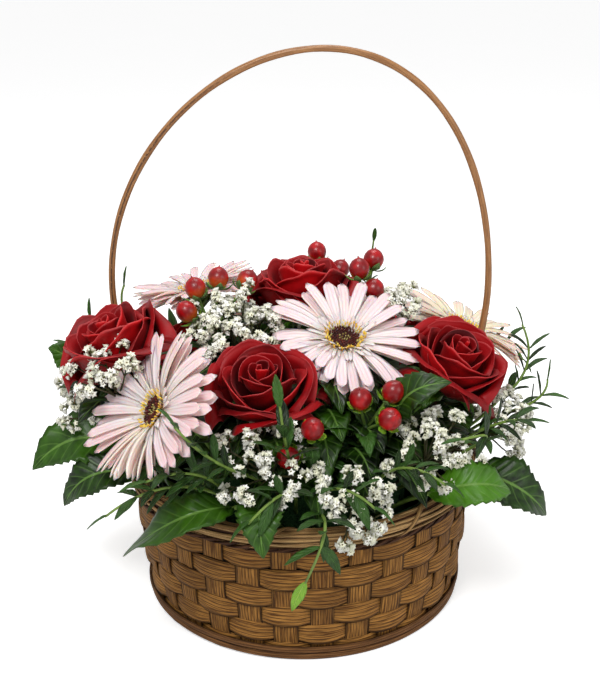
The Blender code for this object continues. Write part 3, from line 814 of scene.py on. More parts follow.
@dataclass
class RimBundle:
    """Bundle of loose splits that caps the wall, over a dark twisted layer."""

    STRAW, BARK = range(2)      # its finishes

    basket: Basket
    finishes: Finishes
    splits: int = 17
    split_width: float = 0.0030
    split_thickness: float = 0.0012
    twist_strands: int = 3
    twist_turns: int = 20
    twist_z: float = 0.0794
    twist_width: float = 0.0028
    twist_thickness: float = 0.0012

    def section(self, turn: Array, swell: float = 1.0) -> tuple[Array, Array]:
        """Radius and height of a point on the bundle's round section."""
        return (self.basket.rim_radius + self.basket.rim_half_width * swell * np.cos(turn),
                self.basket.rim_z + self.basket.rim_half_height * swell * np.sin(turn))

    def build_shade_core(self, piece: Piece) -> None:
        """Fill the bundle's middle with a dark core: painted shade between the splits."""
        radius, z = self.section(round_trip(10)[None, :], swell=0.74)
        skin = around(round_trip(96)[:, None], radius, z)
        # dark core in the darkest bark tone, painted shade seen between the splits
        piece.add(skinned([skin]), tone=0.1, finish=self.BARK)

    def build_splits(self, piece: Piece, dice: random.Random) -> None:
        """Wind the pale splits slowly round the bundle."""
        angle = round_trip(132)
        for split in range(self.splits):
            turn = FULL_TURN * split / self.splits
            waves = dice.choice((1, 2, 3))
            turn = turn + dice.uniform(0.15, 0.5) * np.sin(waves * angle + dice.uniform(0, 6))
            swell = 0.86 + 0.10 * np.sin(dice.choice((2, 3, 4)) * angle + dice.uniform(0, 6))
            radius, z = self.section(turn, swell)
            strip = ribbon(around(angle, radius, z), around(angle, np.cos(turn), np.sin(turn)),
                           self.split_width * dice.uniform(0.6, 1.15), self.split_thickness)
            piece.add(strip, tone=dice.uniform(0.1, 1.0), finish=self.STRAW)

    def build_twist(self, piece: Piece, dice: random.Random) -> None:
        """Twist dark bark under the bundle."""
        angle = round_trip(168)
        for strand in range(self.twist_strands):
            turn = self.twist_turns * angle + FULL_TURN * strand / self.twist_strands
            radius = self.basket.top_radius + 0.0006 + 0.0012 * np.cos(turn)
            z = self.twist_z + 0.0016 * np.sin(turn) + 0.0008 * np.sin(3 * angle + strand)
            strip = ribbon(around(angle, radius, z), around(angle, np.cos(turn), np.sin(turn)),
                           self.twist_width, self.twist_thickness, across=2)
            piece.add(strip, tone=dice.uniform(0.2, 0.9), finish=self.BARK)

    def dress(self) -> None:
        """Make the piece."""
        piece = Piece("rim_bundle_splits", "straw", ["rim_bundle"],
                      [self.finishes.straw, self.finishes.bark])
        dice = random.Random("rim")
        self.build_shade_core(piece)
        self.build_splits(piece, dice)
        self.build_twist(piece, dice)
        piece.stand()


@dataclass
class RimLashing:
    """Strip wound round half of the rim bundle."""

    basket: Basket
    finishes: Finishes
    side: str
    turns: int = 7
    start: float = math.radians(9)
    width: float = 0.0030
    thickness: float = 0.0008
    clearance: float = 0.0007

    def dress(self) -> None:
        """Make the piece."""
        name = f"rim_lashing_{self.side}"
        piece = Piece(f"{name}_strip", "straw", [name], [self.finishes.lashing])
        first = math.pi if self.side == "front" else 0.0
        share = np.linspace(0, 1, self.turns * 20 + 1)
        angle = first + self.start + (math.pi - 2 * self.start) * share
        wind = FULL_TURN * self.turns * share
        rim = self.basket
        radius = rim.rim_radius + (rim.rim_half_width + self.clearance) * np.cos(wind)
        z = rim.rim_z + (rim.rim_half_height + self.clearance) * np.sin(wind)
        way_out = around(angle, np.cos(wind) * rim.rim_half_height,
                         np.sin(wind) * rim.rim_half_width)
        piece.add(ribbon(around(angle, radius, z), way_out, self.width, self.thickness), tone=0.7)
        piece.stand()


@dataclass
class HandleBinding:
    """Bark wound round the rim and the handle's foot."""

    basket: Basket
    finishes: Finishes
    side: str
    centre_x: float = 0.1057
    half_depth: float = 0.0088
    half_height: float = 0.0071
    half_swing: float = 0.0062  # how far a strand swings along the rim
    offset: float = 0.0022      # how far apart the strands lie
    strand_width: float = 0.0034
    strand_thickness: float = 0.00224
    strands: tuple[float, ...] = (-1, 1, -0.5, 0.5)     # how far each one crosses, and which way

    def dress(self) -> None:
        """Make the piece."""
        name = f"handle_binding_{self.side}"
        piece = Piece(f"{name}_bark", "cane", [name], [self.finishes.bark, self.finishes.lashing])
        way = -1 if self.side == "left" else 1
        dice = random.Random(name)
        for strand, cross in enumerate(self.strands):
            turn = round_trip(36)
            x = way * (self.centre_x - self.half_depth * np.cos(turn))
            y = self.half_swing * cross * np.sin(turn) + self.offset * cross
            z = self.basket.rim_z + self.half_height * np.sin(turn)
            path = np.stack([x, y, z], axis=-1)
            way_out = np.stack([-way * np.cos(turn), 0 * turn, np.sin(turn)], axis=-1)
            piece.add(ribbon(path, way_out, self.strand_width, self.strand_thickness),
                      tone=dice.uniform(0.2, 1.0), finish=strand % 2)
        piece.stand()


@dataclass
class Handle:
    """Arch of round cane whose feet stand inside the wall."""

    finishes: Finishes
    cane_radius: float = 0.0023
    half_width: float = 0.1175
    spring_z: float = 0.204
    rise: float = 0.145
    lean: float = 0.0143
    leg_top: Point = (0.1010, 0.0, 0.096)
    leg_foot: Point = (0.0976, 0.0, 0.020)

    def path(self) -> Array:
        """Middle of the cane from one foot, over the arch, to the other foot."""
        top, foot = np.array(self.leg_top), np.array(self.leg_foot)
        spring = np.array((self.half_width, 0, self.spring_z))
        reach = np.linalg.norm(spring - top)
        straight = foot + (top - foot) * np.linspace(0, 1, 9)[:-1, None]
        leg = hermite(top, unit(top - foot) * reach, spring, UP * reach, 16)[:-1]
        turn = np.linspace(0, math.pi, 73)
        arch = np.stack([self.half_width * np.cos(turn) + self.lean * np.sin(turn) ** 2, 0 * turn,
                         self.spring_z + self.rise * np.sin(turn)], axis=-1)
        side = np.concatenate([straight, leg])
        return np.concatenate([side, arch, (side * (-1, 1, 1))[::-1]])

    def dress(self) -> None:
        """Make the piece."""
        piece = Piece("handle_cane_arch", "cane", ["handle"], [self.finishes.cane])
        path = self.path()
        run = np.linspace(0, 1, len(path))
        radii = self.cane_radius * (1 + 0.05 * np.sin(47 * run) + 0.03 * np.sin(131 * run))
        piece.add(tube(path, radii, sides=12, dents=lambda turn: 1 - 0.10 * np.cos(turn) ** 8))
        piece.stand()


def dress_plain_parts(finishes: Finishes) -> None:
    """Give the basket's floor, the liner and the foam their own materials."""
    for node, finish in (("basket_floor", finishes.floor), ("liner", finishes.liner),
                         ("floral_foam", finishes.foam)):
        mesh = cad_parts[node].data
        mesh.materials.clear()
        mesh.materials.append(finish)


# ---------------------------------------------------------------- leaves

def leaf_form(base: Array, middle: Array, tip: Array, width: float, teeth: int = 0,
              fold: float = 0.25, wave: float = 0.0, phase: float = 0.0, up: Array = UP,
              widest: float = 0.8) -> Form:
    """Surface of a leaf bent along its midrib.

    Args:
        base: foot of the blade.
        middle: point that the midrib passes halfway.
        tip: end of the blade.
        width: widest measure across.
        teeth: number of teeth on each side.
        fold: how steeply the sides rise from the midrib.
        wave: height of the sides' ripples as a share of the width.
        phase: where the ripples start.
        up: way that the upper side faces.
        widest: below 1 the leaf is widest before its middle, above 1 after it.

    Returns:
        A form for blade().
    """
    base, middle, tip = (np.asarray(point, float) for point in (base, middle, tip))

    def form(u: Array, v: Array) -> Array:
        """Place the points of the leaf's middle surface."""
        side = 2 * u - 1
        path = bent(base, middle, tip, v)
        way = unit(bent(base, middle, tip, v + 0.01) - bent(base, middle, tip, v - 0.01))
        across = unit(np.cross(way, up))
        normal = np.cross(across, way)
        half = width / 2 * np.maximum(np.sin(math.pi * v ** widest), 0) ** 0.85
        if teeth:
            saw = 0.5 - np.mod(v * teeth, 1.0)
            half = half * (1 + 0.16 * saw * np.abs(side) ** 6)
        ripple = wave * width * np.sin(FULL_TURN * (2.3 * v + phase) + 1.5 * side) * side**2
        lift = fold * half * np.abs(side) ** 1.3 + ripple * np.sin(math.pi * v)
        return path + across * (side * half)[..., None] + normal * lift[..., None]
    return form


def toothed_leaf(piece: Piece, base: Array, middle: Array, tip: Array, width: float, tone: float,
                 dice: random.Random, finish: int, under: int) -> None:
    """Add one small toothed leaf to a piece, in the given upper and lower finishes."""
    teeth = 8
    form = leaf_form(base, middle, tip, width, teeth=teeth, fold=dice.uniform(0.10, 0.30),
                     wave=dice.uniform(0.04, 0.09), phase=dice.random())
    piece.add(blade(form, across=8, along=4 * teeth, thickness=0.0007), tone=tone, finish=finish,
              under=under)


@dataclass
class Planting:
    """Where the stems go: all lean in from one point deep in the foam."""

    focus: Array = field(default_factory=lambda: np.array((0.0, 0.0, 0.022)))
    foam_radius: float = 0.068
    foam_top: float = 0.098

    def foam_exit(self, way: Array) -> float:
        """Distance from the focus to the surface of the foam."""
        flat = math.hypot(way[0], way[1])
        return min((self.foam_top - self.focus[2]) / max(way[2], 1e-6),
                   self.foam_radius / max(flat, 1e-6))

    def stem_path(self, end: Array, end_way: Array, count: int = 8) -> Array:
        """Path of a stem from inside the foam to its end."""
        way = unit(end - self.focus)
        reach = self.foam_exit(way)
        inside = self.focus + way * (reach - 0.012)
        leave = self.focus + way * (reach + 0.003)
        length = np.linalg.norm(end - leave)
        rest = hermite(leave, way * length, end, unit(end_way) * length, count)
        return np.concatenate([inside[None], rest])


@dataclass
class Plant:
    """What every plant shares: its name, the finishes and the place of the stems."""

    name: str
    finishes: Finishes
    planting: Planting

    def start(self, label: str, slot: str, finishes: Sequence[Material]
              ) -> tuple[Piece, random.Random]:
        """Start its piece and its random draws."""
        return Piece(f"{self.name}_{label}", slot, [self.name], finishes), random.Random(self.name)


# ---------------------------------------------------------------- roses

@dataclass(frozen=True)
class RosePetal:
    """One petal, in radii of its rose, whose rim plane lies at height 0."""

    turn: float                 # way it faces, degrees from the right, towards the back
    wrap: float                 # degrees that it covers at its widest
    rim: float                  # distance of its rim from the axis
    top: float                  # height of its rim
    curl: float                 # how far its rim rolls out
    foot: float = -1.05
    ruffle: float = 0.02
    point: float = 0.0          # how far the middle of its rim is drawn out

    def form(self, phase: float) -> Form:
        """Surface of the petal."""
        def surface(u: Array, v: Array) -> Array:
            """Place the points of the petal's middle surface."""
            side = 2 * u - 1
            fan = 0.30 + 0.70 * np.sin(np.minimum(v / 0.75, 1) * math.pi / 2)
            angle = math.radians(self.turn) + side * math.radians(self.wrap) / 2 * fan
            droop = (0.10 + 0.30 * self.rim) * np.abs(side) ** 2.6
            peak = self.top - droop + self.point * np.exp(-(side / 0.26) ** 2)
            height = self.foot + (peak - self.foot) * v ** 0.95
            rho = self.rim * (0.16 + 0.84 * np.sin(v * math.pi / 2) ** 0.6)
            rho = rho + 0.12 * self.rim * np.sin(math.pi * v ** 1.2) + 0.045 * side
            rho = rho + self.ruffle * np.sin(2.6 * side + phase) * v**2
            roll = ease(v, 0.70, 1.0)
            rho = rho + self.curl * roll ** 1.4 * (0.75 + 0.45 * side**2)
            height = height - self.curl * 0.85 * roll ** 2.6 * (0.6 + 0.7 * side**2)
            height = height + self.ruffle * np.sin(4.1 * side + 1.7 * phase) * v**3
            height = height + 0.4 * self.ruffle * np.sin(11 * side + 2 * phase) * v**6
            return np.stack([rho * np.cos(angle), rho * np.sin(angle), height], axis=-1)
        return surface


@dataclass
class Rose(Plant):
    """Rose head of nested petals over green sepals, on its stem with a few leaves."""

    PETAL, BACK, GREEN, LEAF, LEAF_UNDER = range(5)     # its finishes

    place: Point
    facing: Point
    radius: float
    spin: float                 # turn of the head about its facing, in radians
    leaves: int = 4
    stem_radius: float = 0.0026

    @property
    def stand(self) -> Matrix:
        """Frame of the head, in radii of the rose."""
        return head_frame(self.place, self.facing, self.spin) @ Matrix.Scale(self.radius, 4)

    @staticmethod
    def petals(dice: random.Random) -> list[RosePetal]:
        """List the petals: the bud, the middle ones and the outer ones."""
        petals = []
        turn = dice.uniform(0, 360)
        for step in range(7):
            petals.append(RosePetal(turn, 230 - 12 * step, 0.05 + 0.048 * step,
                                    0.13 - 0.004 * step, 0.012 * step, foot=-0.6, ruffle=0.012))
            turn += 141
        for step in range(7):
            petals.append(RosePetal(turn, 158 - 5 * step, 0.38 + 0.052 * step,
                                    0.10 - 0.012 * step + dice.uniform(-0.03, 0.03),
                                    0.07 + 0.018 * step, ruffle=0.035, point=0.04))
            turn += 133
        for step in range(8):
            petals.append(RosePetal(turn, 116 + dice.uniform(-10, 16), 0.72 + 0.020 * step,
                                    0.02 - 0.030 * step + dice.uniform(-0.04, 0.04),
                                    0.15 + 0.022 * step + dice.uniform(-0.04, 0.04),
                                    ruffle=0.055, point=0.07))
            turn += 129
        return petals

    def build_head(self, piece: Piece, dice: random.Random) -> None:
        """Nest the petals."""
        for petal in self.petals(dice):
            shape = blade(petal.form(dice.uniform(0, 6)), across=16, along=16, thickness=0.012)
            piece.add(shape, self.stand, tone=dice.uniform(0.0, 1.0), finish=self.PETAL,
                      under=self.BACK)

    def build_calyx(self, piece: Piece, dice: random.Random) -> None:
        """Add the green foot of the head and its sepals."""
        profile = [(0, -1.30), (0.11, -1.28), (0.20, -1.16), (0.24, -1.02), (0, -0.9)]
        piece.add(turned_solid(profile, sides=10), self.stand, tone=0.4, finish=self.GREEN)
        for sepal in range(5):
            out = outward(math.radians(72 * sepal + 20))
            form = leaf_form(out * 0.2 - UP * 1.15, out * 0.62 - UP * 1.02, out * 0.95 - UP * 1.25,
                             0.26)
            piece.add(blade(form, across=4, along=8, thickness=0.02), self.stand,
                      tone=dice.random(), finish=self.LEAF, under=self.LEAF_UNDER)

    def build_stem(self, piece: Piece, dice: random.Random) -> None:
        """Add the stem and the toothed leaves that fill the room under the head."""
        place, facing = np.array(self.place), unit(np.array(self.facing))
        end = place - facing * 1.2 * self.radius
        piece.add(tube(self.planting.stem_path(end, facing), self.stem_radius, sides=8), tone=0.5,
                  finish=self.GREEN)
        foot = place - facing * 1.45 * self.radius
        flat = unit(np.array((facing[0], facing[1], 0.0)) + unit(place * (1, 1, 0)) * 0.8)
        for leaf in range(self.leaves):
            turn = math.radians((leaf - (self.leaves - 1) / 2) * 64 + dice.uniform(-14, 14))
            out = np.array((flat[0] * math.cos(turn) - flat[1] * math.sin(turn),
                            flat[0] * math.sin(turn) + flat[1] * math.cos(turn), 0.0))
            length = dice.uniform(0.036, 0.046)
            base = foot + out * 0.006
            middle = base + out * length * 0.5 + UP * dice.uniform(0.000, 0.008)
            tip = base + out * length + UP * dice.uniform(-0.014, 0.004)
            toothed_leaf(piece, base, middle, tip, length * 0.58, dice.uniform(0.0, 0.3), dice,
                         finish=self.LEAF, under=self.LEAF_UNDER)

    def dress(self) -> None:
        """Make the piece."""
        made = self.finishes
        piece, dice = self.start("flower", "rose_petals", [made.rose, made.rose_back, made.stem,
                                                           made.leaf, made.leaf_under])
        self.build_head(piece, dice)
        self.build_calyx(piece, dice)
        self.build_stem(piece, dice)
        piece.stand()


# ---------------------------------------------------------------- gerberas

class PetalShapes:
    """Gerbera petals in a few bends, made once and copied round every head."""

    def __init__(self) -> None:
        """Make the shapes one unit long, with the foot at the origin and the tip along +Y."""
        dice = random.Random("gerbera petals")
        self.long = [self.make(dice.uniform(-0.10, 0.06), dice.uniform(-0.07, 0.07),
                               dice.uniform(0.97, 1.06), 8, 12) for _ in range(6)]
        self.short = [self.make(dice.uniform(-0.25, 0.10), dice.uniform(-0.15, 0.15), 1.0, 4, 6)
                      for _ in range(3)]

    @staticmethod
    def make(droop: float, sway: float, fullness: float, across: int, along: int
             ) -> bpy.types.Mesh:
        """Shape one petal: narrow foot, full end, three ribs and a round tip."""
        def form(u: Array, v: Array) -> Array:
            """Place the points of the petal's middle surface."""
            side = 2 * u - 1
            swell = 0.42 + 0.58 * ease(v, 0.0, 0.62)
            close = np.sqrt(np.clip(1 - (np.maximum(v - 0.84, 0) / 0.162) ** 2, 0, 1))
            half = 0.085 * fullness * swell * close
            rib = -0.006 * np.cos(3 * math.pi * side) * (1 - ease(v, 0.8, 1.0))
            cup = 0.030 * side**2 * (1 - 0.5 * v)
            height = rib + cup + 0.05 * np.sin(math.pi * v) + droop * v**2.2
            return np.stack([side * half + sway * v**2, v + 0 * side, height], axis=-1)
        return blade(form, across, along, thickness=0.018)


@dataclass
class Gerbera(Plant):
    """Gerbera head: three rows of long petals, a fringe, and a disc of tiny florets."""

    UPPER, UNDER, FRINGE, DISC, HEART, STAMEN, GREEN = range(7)     # its finishes

    place: Point
    facing: Point
    radius: float
    shapes: PetalShapes
    cup: float = 8.0            # degrees that the petals rise
    lean_side: float = 180.0    # side on which they rise more, degrees from the right
    lean: float = 0.0           # how many degrees more
    edge_side: float = 0.0      # side on which they turn their edges up
    edge_roll: float = 0.0      # by how many degrees
    short_side: float = 0.0     # side on which they are shorter
    short: float = 0.0          # by what share
    cream: bool = False         # whether its petals are cream, not pink
    rows: tuple[tuple[int, float, float], ...] = (      # petals, share of the length, more rise
        (25, 1.0, 0.0), (24, 0.98, -7.0), (18, 0.94, -13.0))
    fringe: tuple[tuple[int, float, float], ...] = (    # petals, length, rise in degrees
        (26, 0.0125, 24.0), (24, 0.0085, 46.0))
    foot: float = 0.0075        # distance of the long petals' feet from the axis
    disc_radius: float = 0.0105
    florets: int = 110
    floret_size: float = 0.0011
    stamens: int = 60
    stamen_size: float = 0.0034
    bracts: int = 18
    stem_radius: float = 0.0022

    @property
    def stand(self) -> Matrix:
        """Frame of the head."""
        return head_frame(self.place, self.facing)

    @staticmethod
    def petal_frame(turn: float, tilt: float, foot: float, length: float, width: float,
                    roll: float, drop: float) -> Matrix:
        """Place of a petal that starts at the foot's distance from the axis."""
        return (Matrix.Rotation(turn, 4, "Z") @ Matrix.Translation((0, foot, drop))
                @ Matrix.Rotation(tilt, 4, "X") @ Matrix.Rotation(roll, 4, "Y")
                @ Matrix.Diagonal((width, length, length, 1)))

    def build_rays(self, piece: Piece, dice: random.Random) -> None:
        """Add the long petals, row by row from the top."""
        for row, (count, reach, lower) in enumerate(self.rows):
            for number in range(count):
                turn = FULL_TURN * (number + 0.5 * row + dice.uniform(-0.20, 0.20)) / count
                bearing = turn + math.pi / 2
                more = self.lean * math.cos(bearing - math.radians(self.lean_side))
                tilt = math.radians(self.cup + lower + more + dice.uniform(-6, 6))
                near = max(0.0, math.cos(bearing - math.radians(self.edge_side))) ** 8
                roll = math.radians(dice.uniform(-14, 14) + self.edge_roll * near)
                length = (self.radius - self.foot) * reach * dice.uniform(0.93, 1.05)
                beside = max(0.0, math.cos(bearing - math.radians(self.short_side)))
                length *= 1 - self.short * beside ** 4
                width = (self.radius - self.foot) * dice.uniform(0.96, 1.12)
                place = self.petal_frame(turn, tilt, self.foot, length, width, roll, -0.0012 * row)
                piece.add(dice.choice(self.shapes.long), self.stand @ place, tone=dice.random(),
                          finish=self.UPPER, under=self.UNDER, keep=True)

    def build_fringe(self, piece: Piece, dice: random.Random) -> None:
        """Add the short inner petals that stand round the disc."""
        for row, (count, length, tilt) in enumerate(self.fringe):
            for number in range(count):
                turn = FULL_TURN * (number + dice.uniform(-0.3, 0.3)) / count
                size = length * dice.uniform(0.8, 1.2)
                place = self.petal_frame(turn, math.radians(tilt + dice.uniform(-9, 9)),
                                         self.disc_radius - 0.0022 - 0.0008 * row, size,
                                         size * 1.15, math.radians(dice.uniform(-25, 25)),
                                         0.0006)
                piece.add(dice.choice(self.shapes.short), self.stand @ place, tone=dice.random(),
                          finish=self.FRINGE, keep=True)

    def build_disc(self, piece: Piece, dice: random.Random) -> None:
        """Pack the tiny florets of the disc in a sunflower spiral and ring them with stamens."""
        bed = turned_solid([(0, -0.004), (self.disc_radius, -0.002), (self.disc_radius, 0.0005),
                            (0.6 * self.disc_radius, 0.0016), (0, 0.0010)], sides=20)
        piece.add(bed, self.stand, tone=0.2, finish=self.DISC)
        bud = turned_solid([(0, -0.5), (0.55, 0.1), (0.42, 0.8), (0, 1.05)], sides=5)
        for number in range(self.florets):
            share = math.sqrt((number + 0.5) / self.florets)
            far, turn = share * self.disc_radius * 0.86, number * GOLDEN_ANGLE
            size = self.floret_size * (0.75 + 0.5 * share) * dice.uniform(0.85, 1.15)
            pale = share < 0.36 or (share > 0.80 and number % 3 == 0)
            lift = 0.0010 + 0.0016 * math.sin(math.pi * share) + 0.0012 * share
            place = Matrix.Translation((far * math.cos(turn), far * math.sin(turn), lift))
            piece.add(bud, self.stand @ place @ Matrix.Scale(size, 4), tone=dice.random(),
                      finish=self.HEART if pale else self.DISC, keep=True)
        bpy.data.meshes.remove(bud)
        stamen = tube(np.array(((0, 0, 0), (0, 0.25, 0.7), (0, 0.45, 1.1), (0, 0.5, 1.3))),
                      np.array((0.09, 0.08, 0.17, 0.08)), sides=4)
        for number in range(self.stamens):
            turn = FULL_TURN * (number + dice.uniform(-0.3, 0.3)) / self.stamens
            far = self.disc_radius * dice.uniform(0.74, 1.0)
            size = self.stamen_size * dice.uniform(0.8, 1.2)
            place = Matrix.Rotation(turn, 4, "Z") @ Matrix.Translation((0, far, 0.0010))
            piece.add(stamen, self.stand @ (place @ Matrix.Scale(size, 4)), tone=dice.random(),
                      finish=self.STAMEN, keep=True)
        bpy.data.meshes.remove(stamen)

    def build_stem(self, piece: Piece, dice: random.Random) -> None:
        """Add the bracts under the head and the stem."""
        cup = turned_solid([(0, -0.0120), (0.0030, -0.0118), (0.0085, -0.0075), (0.0120, -0.0030),
                            (0.0100, -0.0016), (0, -0.0016)], sides=16)
        piece.add(cup, self.stand, tone=0.6, finish=self.GREEN)
        for bract in range(self.bracts):
            out = outward(FULL_TURN * bract / self.bracts)
            form = leaf_form(out * 0.006 - UP * 0.0090, out * 0.0110 - UP * 0.0058,
                             out * 0.0160 - UP * 0.0034, 0.0034, up=-out - UP)
            piece.add(blade(form, across=2, along=5, thickness=0.0005), self.stand,
                      tone=dice.random(), finish=self.GREEN)
        place, facing = np.array(self.place), unit(np.array(self.facing))
        path = self.planting.stem_path(place - facing * 0.010, facing)
        piece.add(tube(path, self.stem_radius, sides=8), tone=0.6, finish=self.GREEN)

    def dress(self) -> None:
        """Make the piece."""
        made = self.finishes
        piece, dice = self.start("flower", "gerbera_petals", [
            made.gerbera_cream if self.cream else made.gerbera, made.gerbera_under, made.fringe,
            made.disc, made.disc_heart, made.stamen, made.stem])
        self.build_rays(piece, dice)
        self.build_fringe(piece, dice)
        self.build_disc(piece, dice)
        self.build_stem(piece, dice)
        piece.stand()


# ---------------------------------------------------------------- berries

@dataclass
class Hypericum(Plant):
    """Hypericum sprig: twigs that fork to glossy berries, each in a cup of sepals."""

    BERRY, SEPAL, SEPAL_UNDER, STEM, LEAF = range(5)    # its finishes
    PROFILE = ((0, -0.98), (0.42, -0.90), (0.78, -0.62), (0.97, -0.15), (0.99, 0.12), (0.90, 0.48),
               (0.68, 0.80), (0.40, 0.99), (0.16, 1.08), (0.07, 1.12), (0.04, 1.24), (0, 1.26))

    fork: Point
    berries: tuple[Point, ...]
    warm: float                 # how yellow the berries' feet are
    berry_radius: float = 0.0068
    leaves: int = 9
    stem_radius: float = 0.0014
    twig_radius: float = 0.0010

    def build_berry(self, piece: Piece, centre: Array, way: Array, dice: random.Random) -> None:
        """Add one berry with its sepals."""
        size = self.berry_radius
        stand = head_frame(tuple(centre), tuple(way), dice.uniform(0, 2)) @ Matrix.Scale(size, 4)
        piece.add(turned_solid(self.PROFILE, sides=14), stand,
                  tone=self.warm + dice.uniform(-0.15, 0.15), finish=self.BERRY)
        for sepal in range(5):
            out = outward(FULL_TURN * sepal / 5)
            spread = dice.uniform(0.92, 1.14)
            form = leaf_form(out * 0.16 - UP * 1.06, out * 0.86 * spread - UP * 0.92,
                             out * 1.22 * spread - UP * 0.36, 0.80, up=UP - out, widest=1.0)
            piece.add(blade(form, across=4, along=7, thickness=0.06), stand,
                      tone=dice.uniform(0.5, 1.0), finish=self.SEPAL, under=self.SEPAL_UNDER)

    def dress(self) -> None:
        """Make the piece."""
        made = self.finishes
        piece, dice = self.start("berries", "berries", [made.berry, made.tender, made.leaf_under,
                                                        made.stem, made.lance])
        fork = np.array(self.fork)
        places = [np.array(berry) for berry in self.berries]
        middle = sum(places) / len(places)
        stem = tube(self.planting.stem_path(fork, middle - fork), self.stem_radius)
        piece.add(stem, tone=0.4, finish=self.STEM)
        for centre in places:
            way = unit(centre - fork)
            end = centre - way * self.berry_radius * 0.9
            twig = hermite(fork, unit(middle - fork) * 0.03, end, way * 0.03, 6)
            piece.add(tube(twig, self.twig_radius), tone=0.5, finish=self.STEM)
            self.build_berry(piece, centre, way, dice)
        for leaf in range(self.leaves):
            out = outward(leaf * GOLDEN_ANGLE)
            foot = fork + UP * (0.006 - 0.004 * leaf)
            form = leaf_form(foot, foot + out * 0.015 + UP * 0.008, foot + out * 0.031 + UP * 0.002,
                             0.013)
            piece.add(blade(form, across=4, along=9, thickness=0.0006),
                      tone=dice.uniform(0.1, 0.6), finish=self.LEAF)
        piece.stand()


# ---------------------------------------------------------------- statice

@dataclass
class Statice(Plant):
    """Statice sprig: thin branches from one fork, with clusters of papery florets."""

    FLORET, TWIG, LEAF = range(3)   # its finishes

    fork: Point
    growth: Point
    reach: float
    half_angle: float           # how far the branches spread, in degrees
    branches: int
    floret: bpy.types.Mesh
    clumps: int = 3             # clumps at the end of each branch
    florets: int = 8            # florets in each clump
    spread: float = 0.0064      # how far the clumps lie from their branch's end
    clump_radius: float = 0.0034
    floret_size: float = 0.0023
    leaves: int = 4

    @staticmethod
    def make_floret() -> bpy.types.Mesh:
        """Shape one floret of size 1: a five-petalled star over a narrow cup."""
        turn = round_trip(10)
        star = np.where(np.arange(11) % 2, 0.52, 1.0)
        rings = ((0.0, -0.34, 0), (0.22, -0.26, 0), (1.0, 0.30, 1), (0.94, 0.16, 1),
                 (0.22, -0.80, 0), (0.0, -1.3, 0))
        rows = []
        for radius, height, shaped in rings:
            reach = radius * (star if shaped else 1.0)
            rows.append(np.stack([reach * np.cos(turn), reach * np.sin(turn),
                                  np.full(11, height)], axis=-1))
        return skinned([np.array(rows)])

    def heads(self) -> list[tuple[Array, float]]:
        """Places of the clusters, spread over a cap round the way the sprig grows."""
        stand = head_frame(self.fork, self.growth)
        places = []
        for branch in range(self.branches):
            lean = math.radians(self.half_angle) * math.sqrt(branch / (self.branches - 1))
            turn = branch * GOLDEN_ANGLE
            length = self.reach * (1 - 0.10 * (branch % 3)) * (1.0 if branch % 2 else 0.86)
            places.append(np.array(stand @ Vector((math.sin(lean) * math.cos(turn) * length,
                                                   math.sin(lean) * math.sin(turn) * length,
                                                   math.cos(lean) * length))))
        return places

    def build_clump(self, piece: Piece, start: Array, clump: Array, dice: random.Random) -> None:
        """Add a twiglet and a tight clump of florets at its end."""
        way = unit(clump - start)
        lean = unit(way + UP * 0.5)
        twiglet = np.array([start, (start + clump) / 2 + UP * 0.0008, clump - lean * 0.002])
        piece.add(tube(twiglet, 0.00045, sides=4), tone=0.3, finish=self.TWIG)
        size = self.clump_radius
        for number in range(self.florets):
            share = math.sqrt((number + 0.5) / self.florets)
            turn = number * GOLDEN_ANGLE + dice.uniform(-0.5, 0.5)
            spot = np.array(head_frame(tuple(clump), tuple(lean)) @ Vector((
                share * size * math.cos(turn), share * size * math.sin(turn),
                size * (0.9 - 1.5 * share**2) + dice.uniform(-0.0007, 0.0007))))
            wild = np.array([dice.uniform(-0.45, 0.45) for _ in range(3)])
            facing = unit(unit(spot - clump + lean * 0.002) + lean * 0.25 + wild)
            grown = self.floret_size * dice.uniform(0.70, 1.15)
            stand = (head_frame(tuple(spot), tuple(facing), dice.uniform(0, 6))
                     @ Matrix.Scale(grown, 4))
            piece.add(self.floret, stand, tone=dice.random(), finish=self.FLORET, keep=True)

    def dress(self) -> None:
        """Make the piece."""
        made = self.finishes
        piece, dice = self.start("spray", "statice_florets", [made.floret, made.twig, made.lance])
        fork = np.array(self.fork)
        growth = unit(np.array(self.growth))
        stem = tube(self.planting.stem_path(fork, growth), 0.0011, sides=5)
        piece.add(stem, tone=0.4, finish=self.TWIG)
        for head in self.heads():
            way = unit(head - fork)
            arc = hermite(fork, growth * 0.02, head - way * 0.006, way * 0.02, 5)
            branch = tube(arc, np.linspace(0.0008, 0.0005, len(arc)), sides=4)
            piece.add(branch, tone=0.3, finish=self.TWIG)
            for _ in range(self.clumps):
                aside = np.array([dice.gauss(0, 1) for _ in range(3)])
                aside = unit(aside - way * np.dot(aside, way) * 0.5)
                clump = head + aside * self.spread * dice.uniform(0.45, 1.1)
                self.build_clump(piece, head - way * 0.006, clump, dice)
        for leaf in range(self.leaves):
            out = outward(leaf * GOLDEN_ANGLE + 1.0, rise=0.2)
            foot = fork - growth * 0.004 * leaf
            form = leaf_form(foot, foot + out * 0.013 + UP * 0.004, foot + out * 0.026, 0.007)
            piece.add(blade(form, across=4, along=8, thickness=0.0006),
                      tone=dice.uniform(0.0, 0.5), finish=self.LEAF)
        piece.stand()


# ---------------------------------------------------------------- foliage

class LeafShade(Enum):
    """How bright a broad leaf is drawn: partly its own colour, partly painted light and shade for
    where it sits.
    """

    DARK = 0.12
    MIDDLE = 0.34
    BRIGHT = 0.80


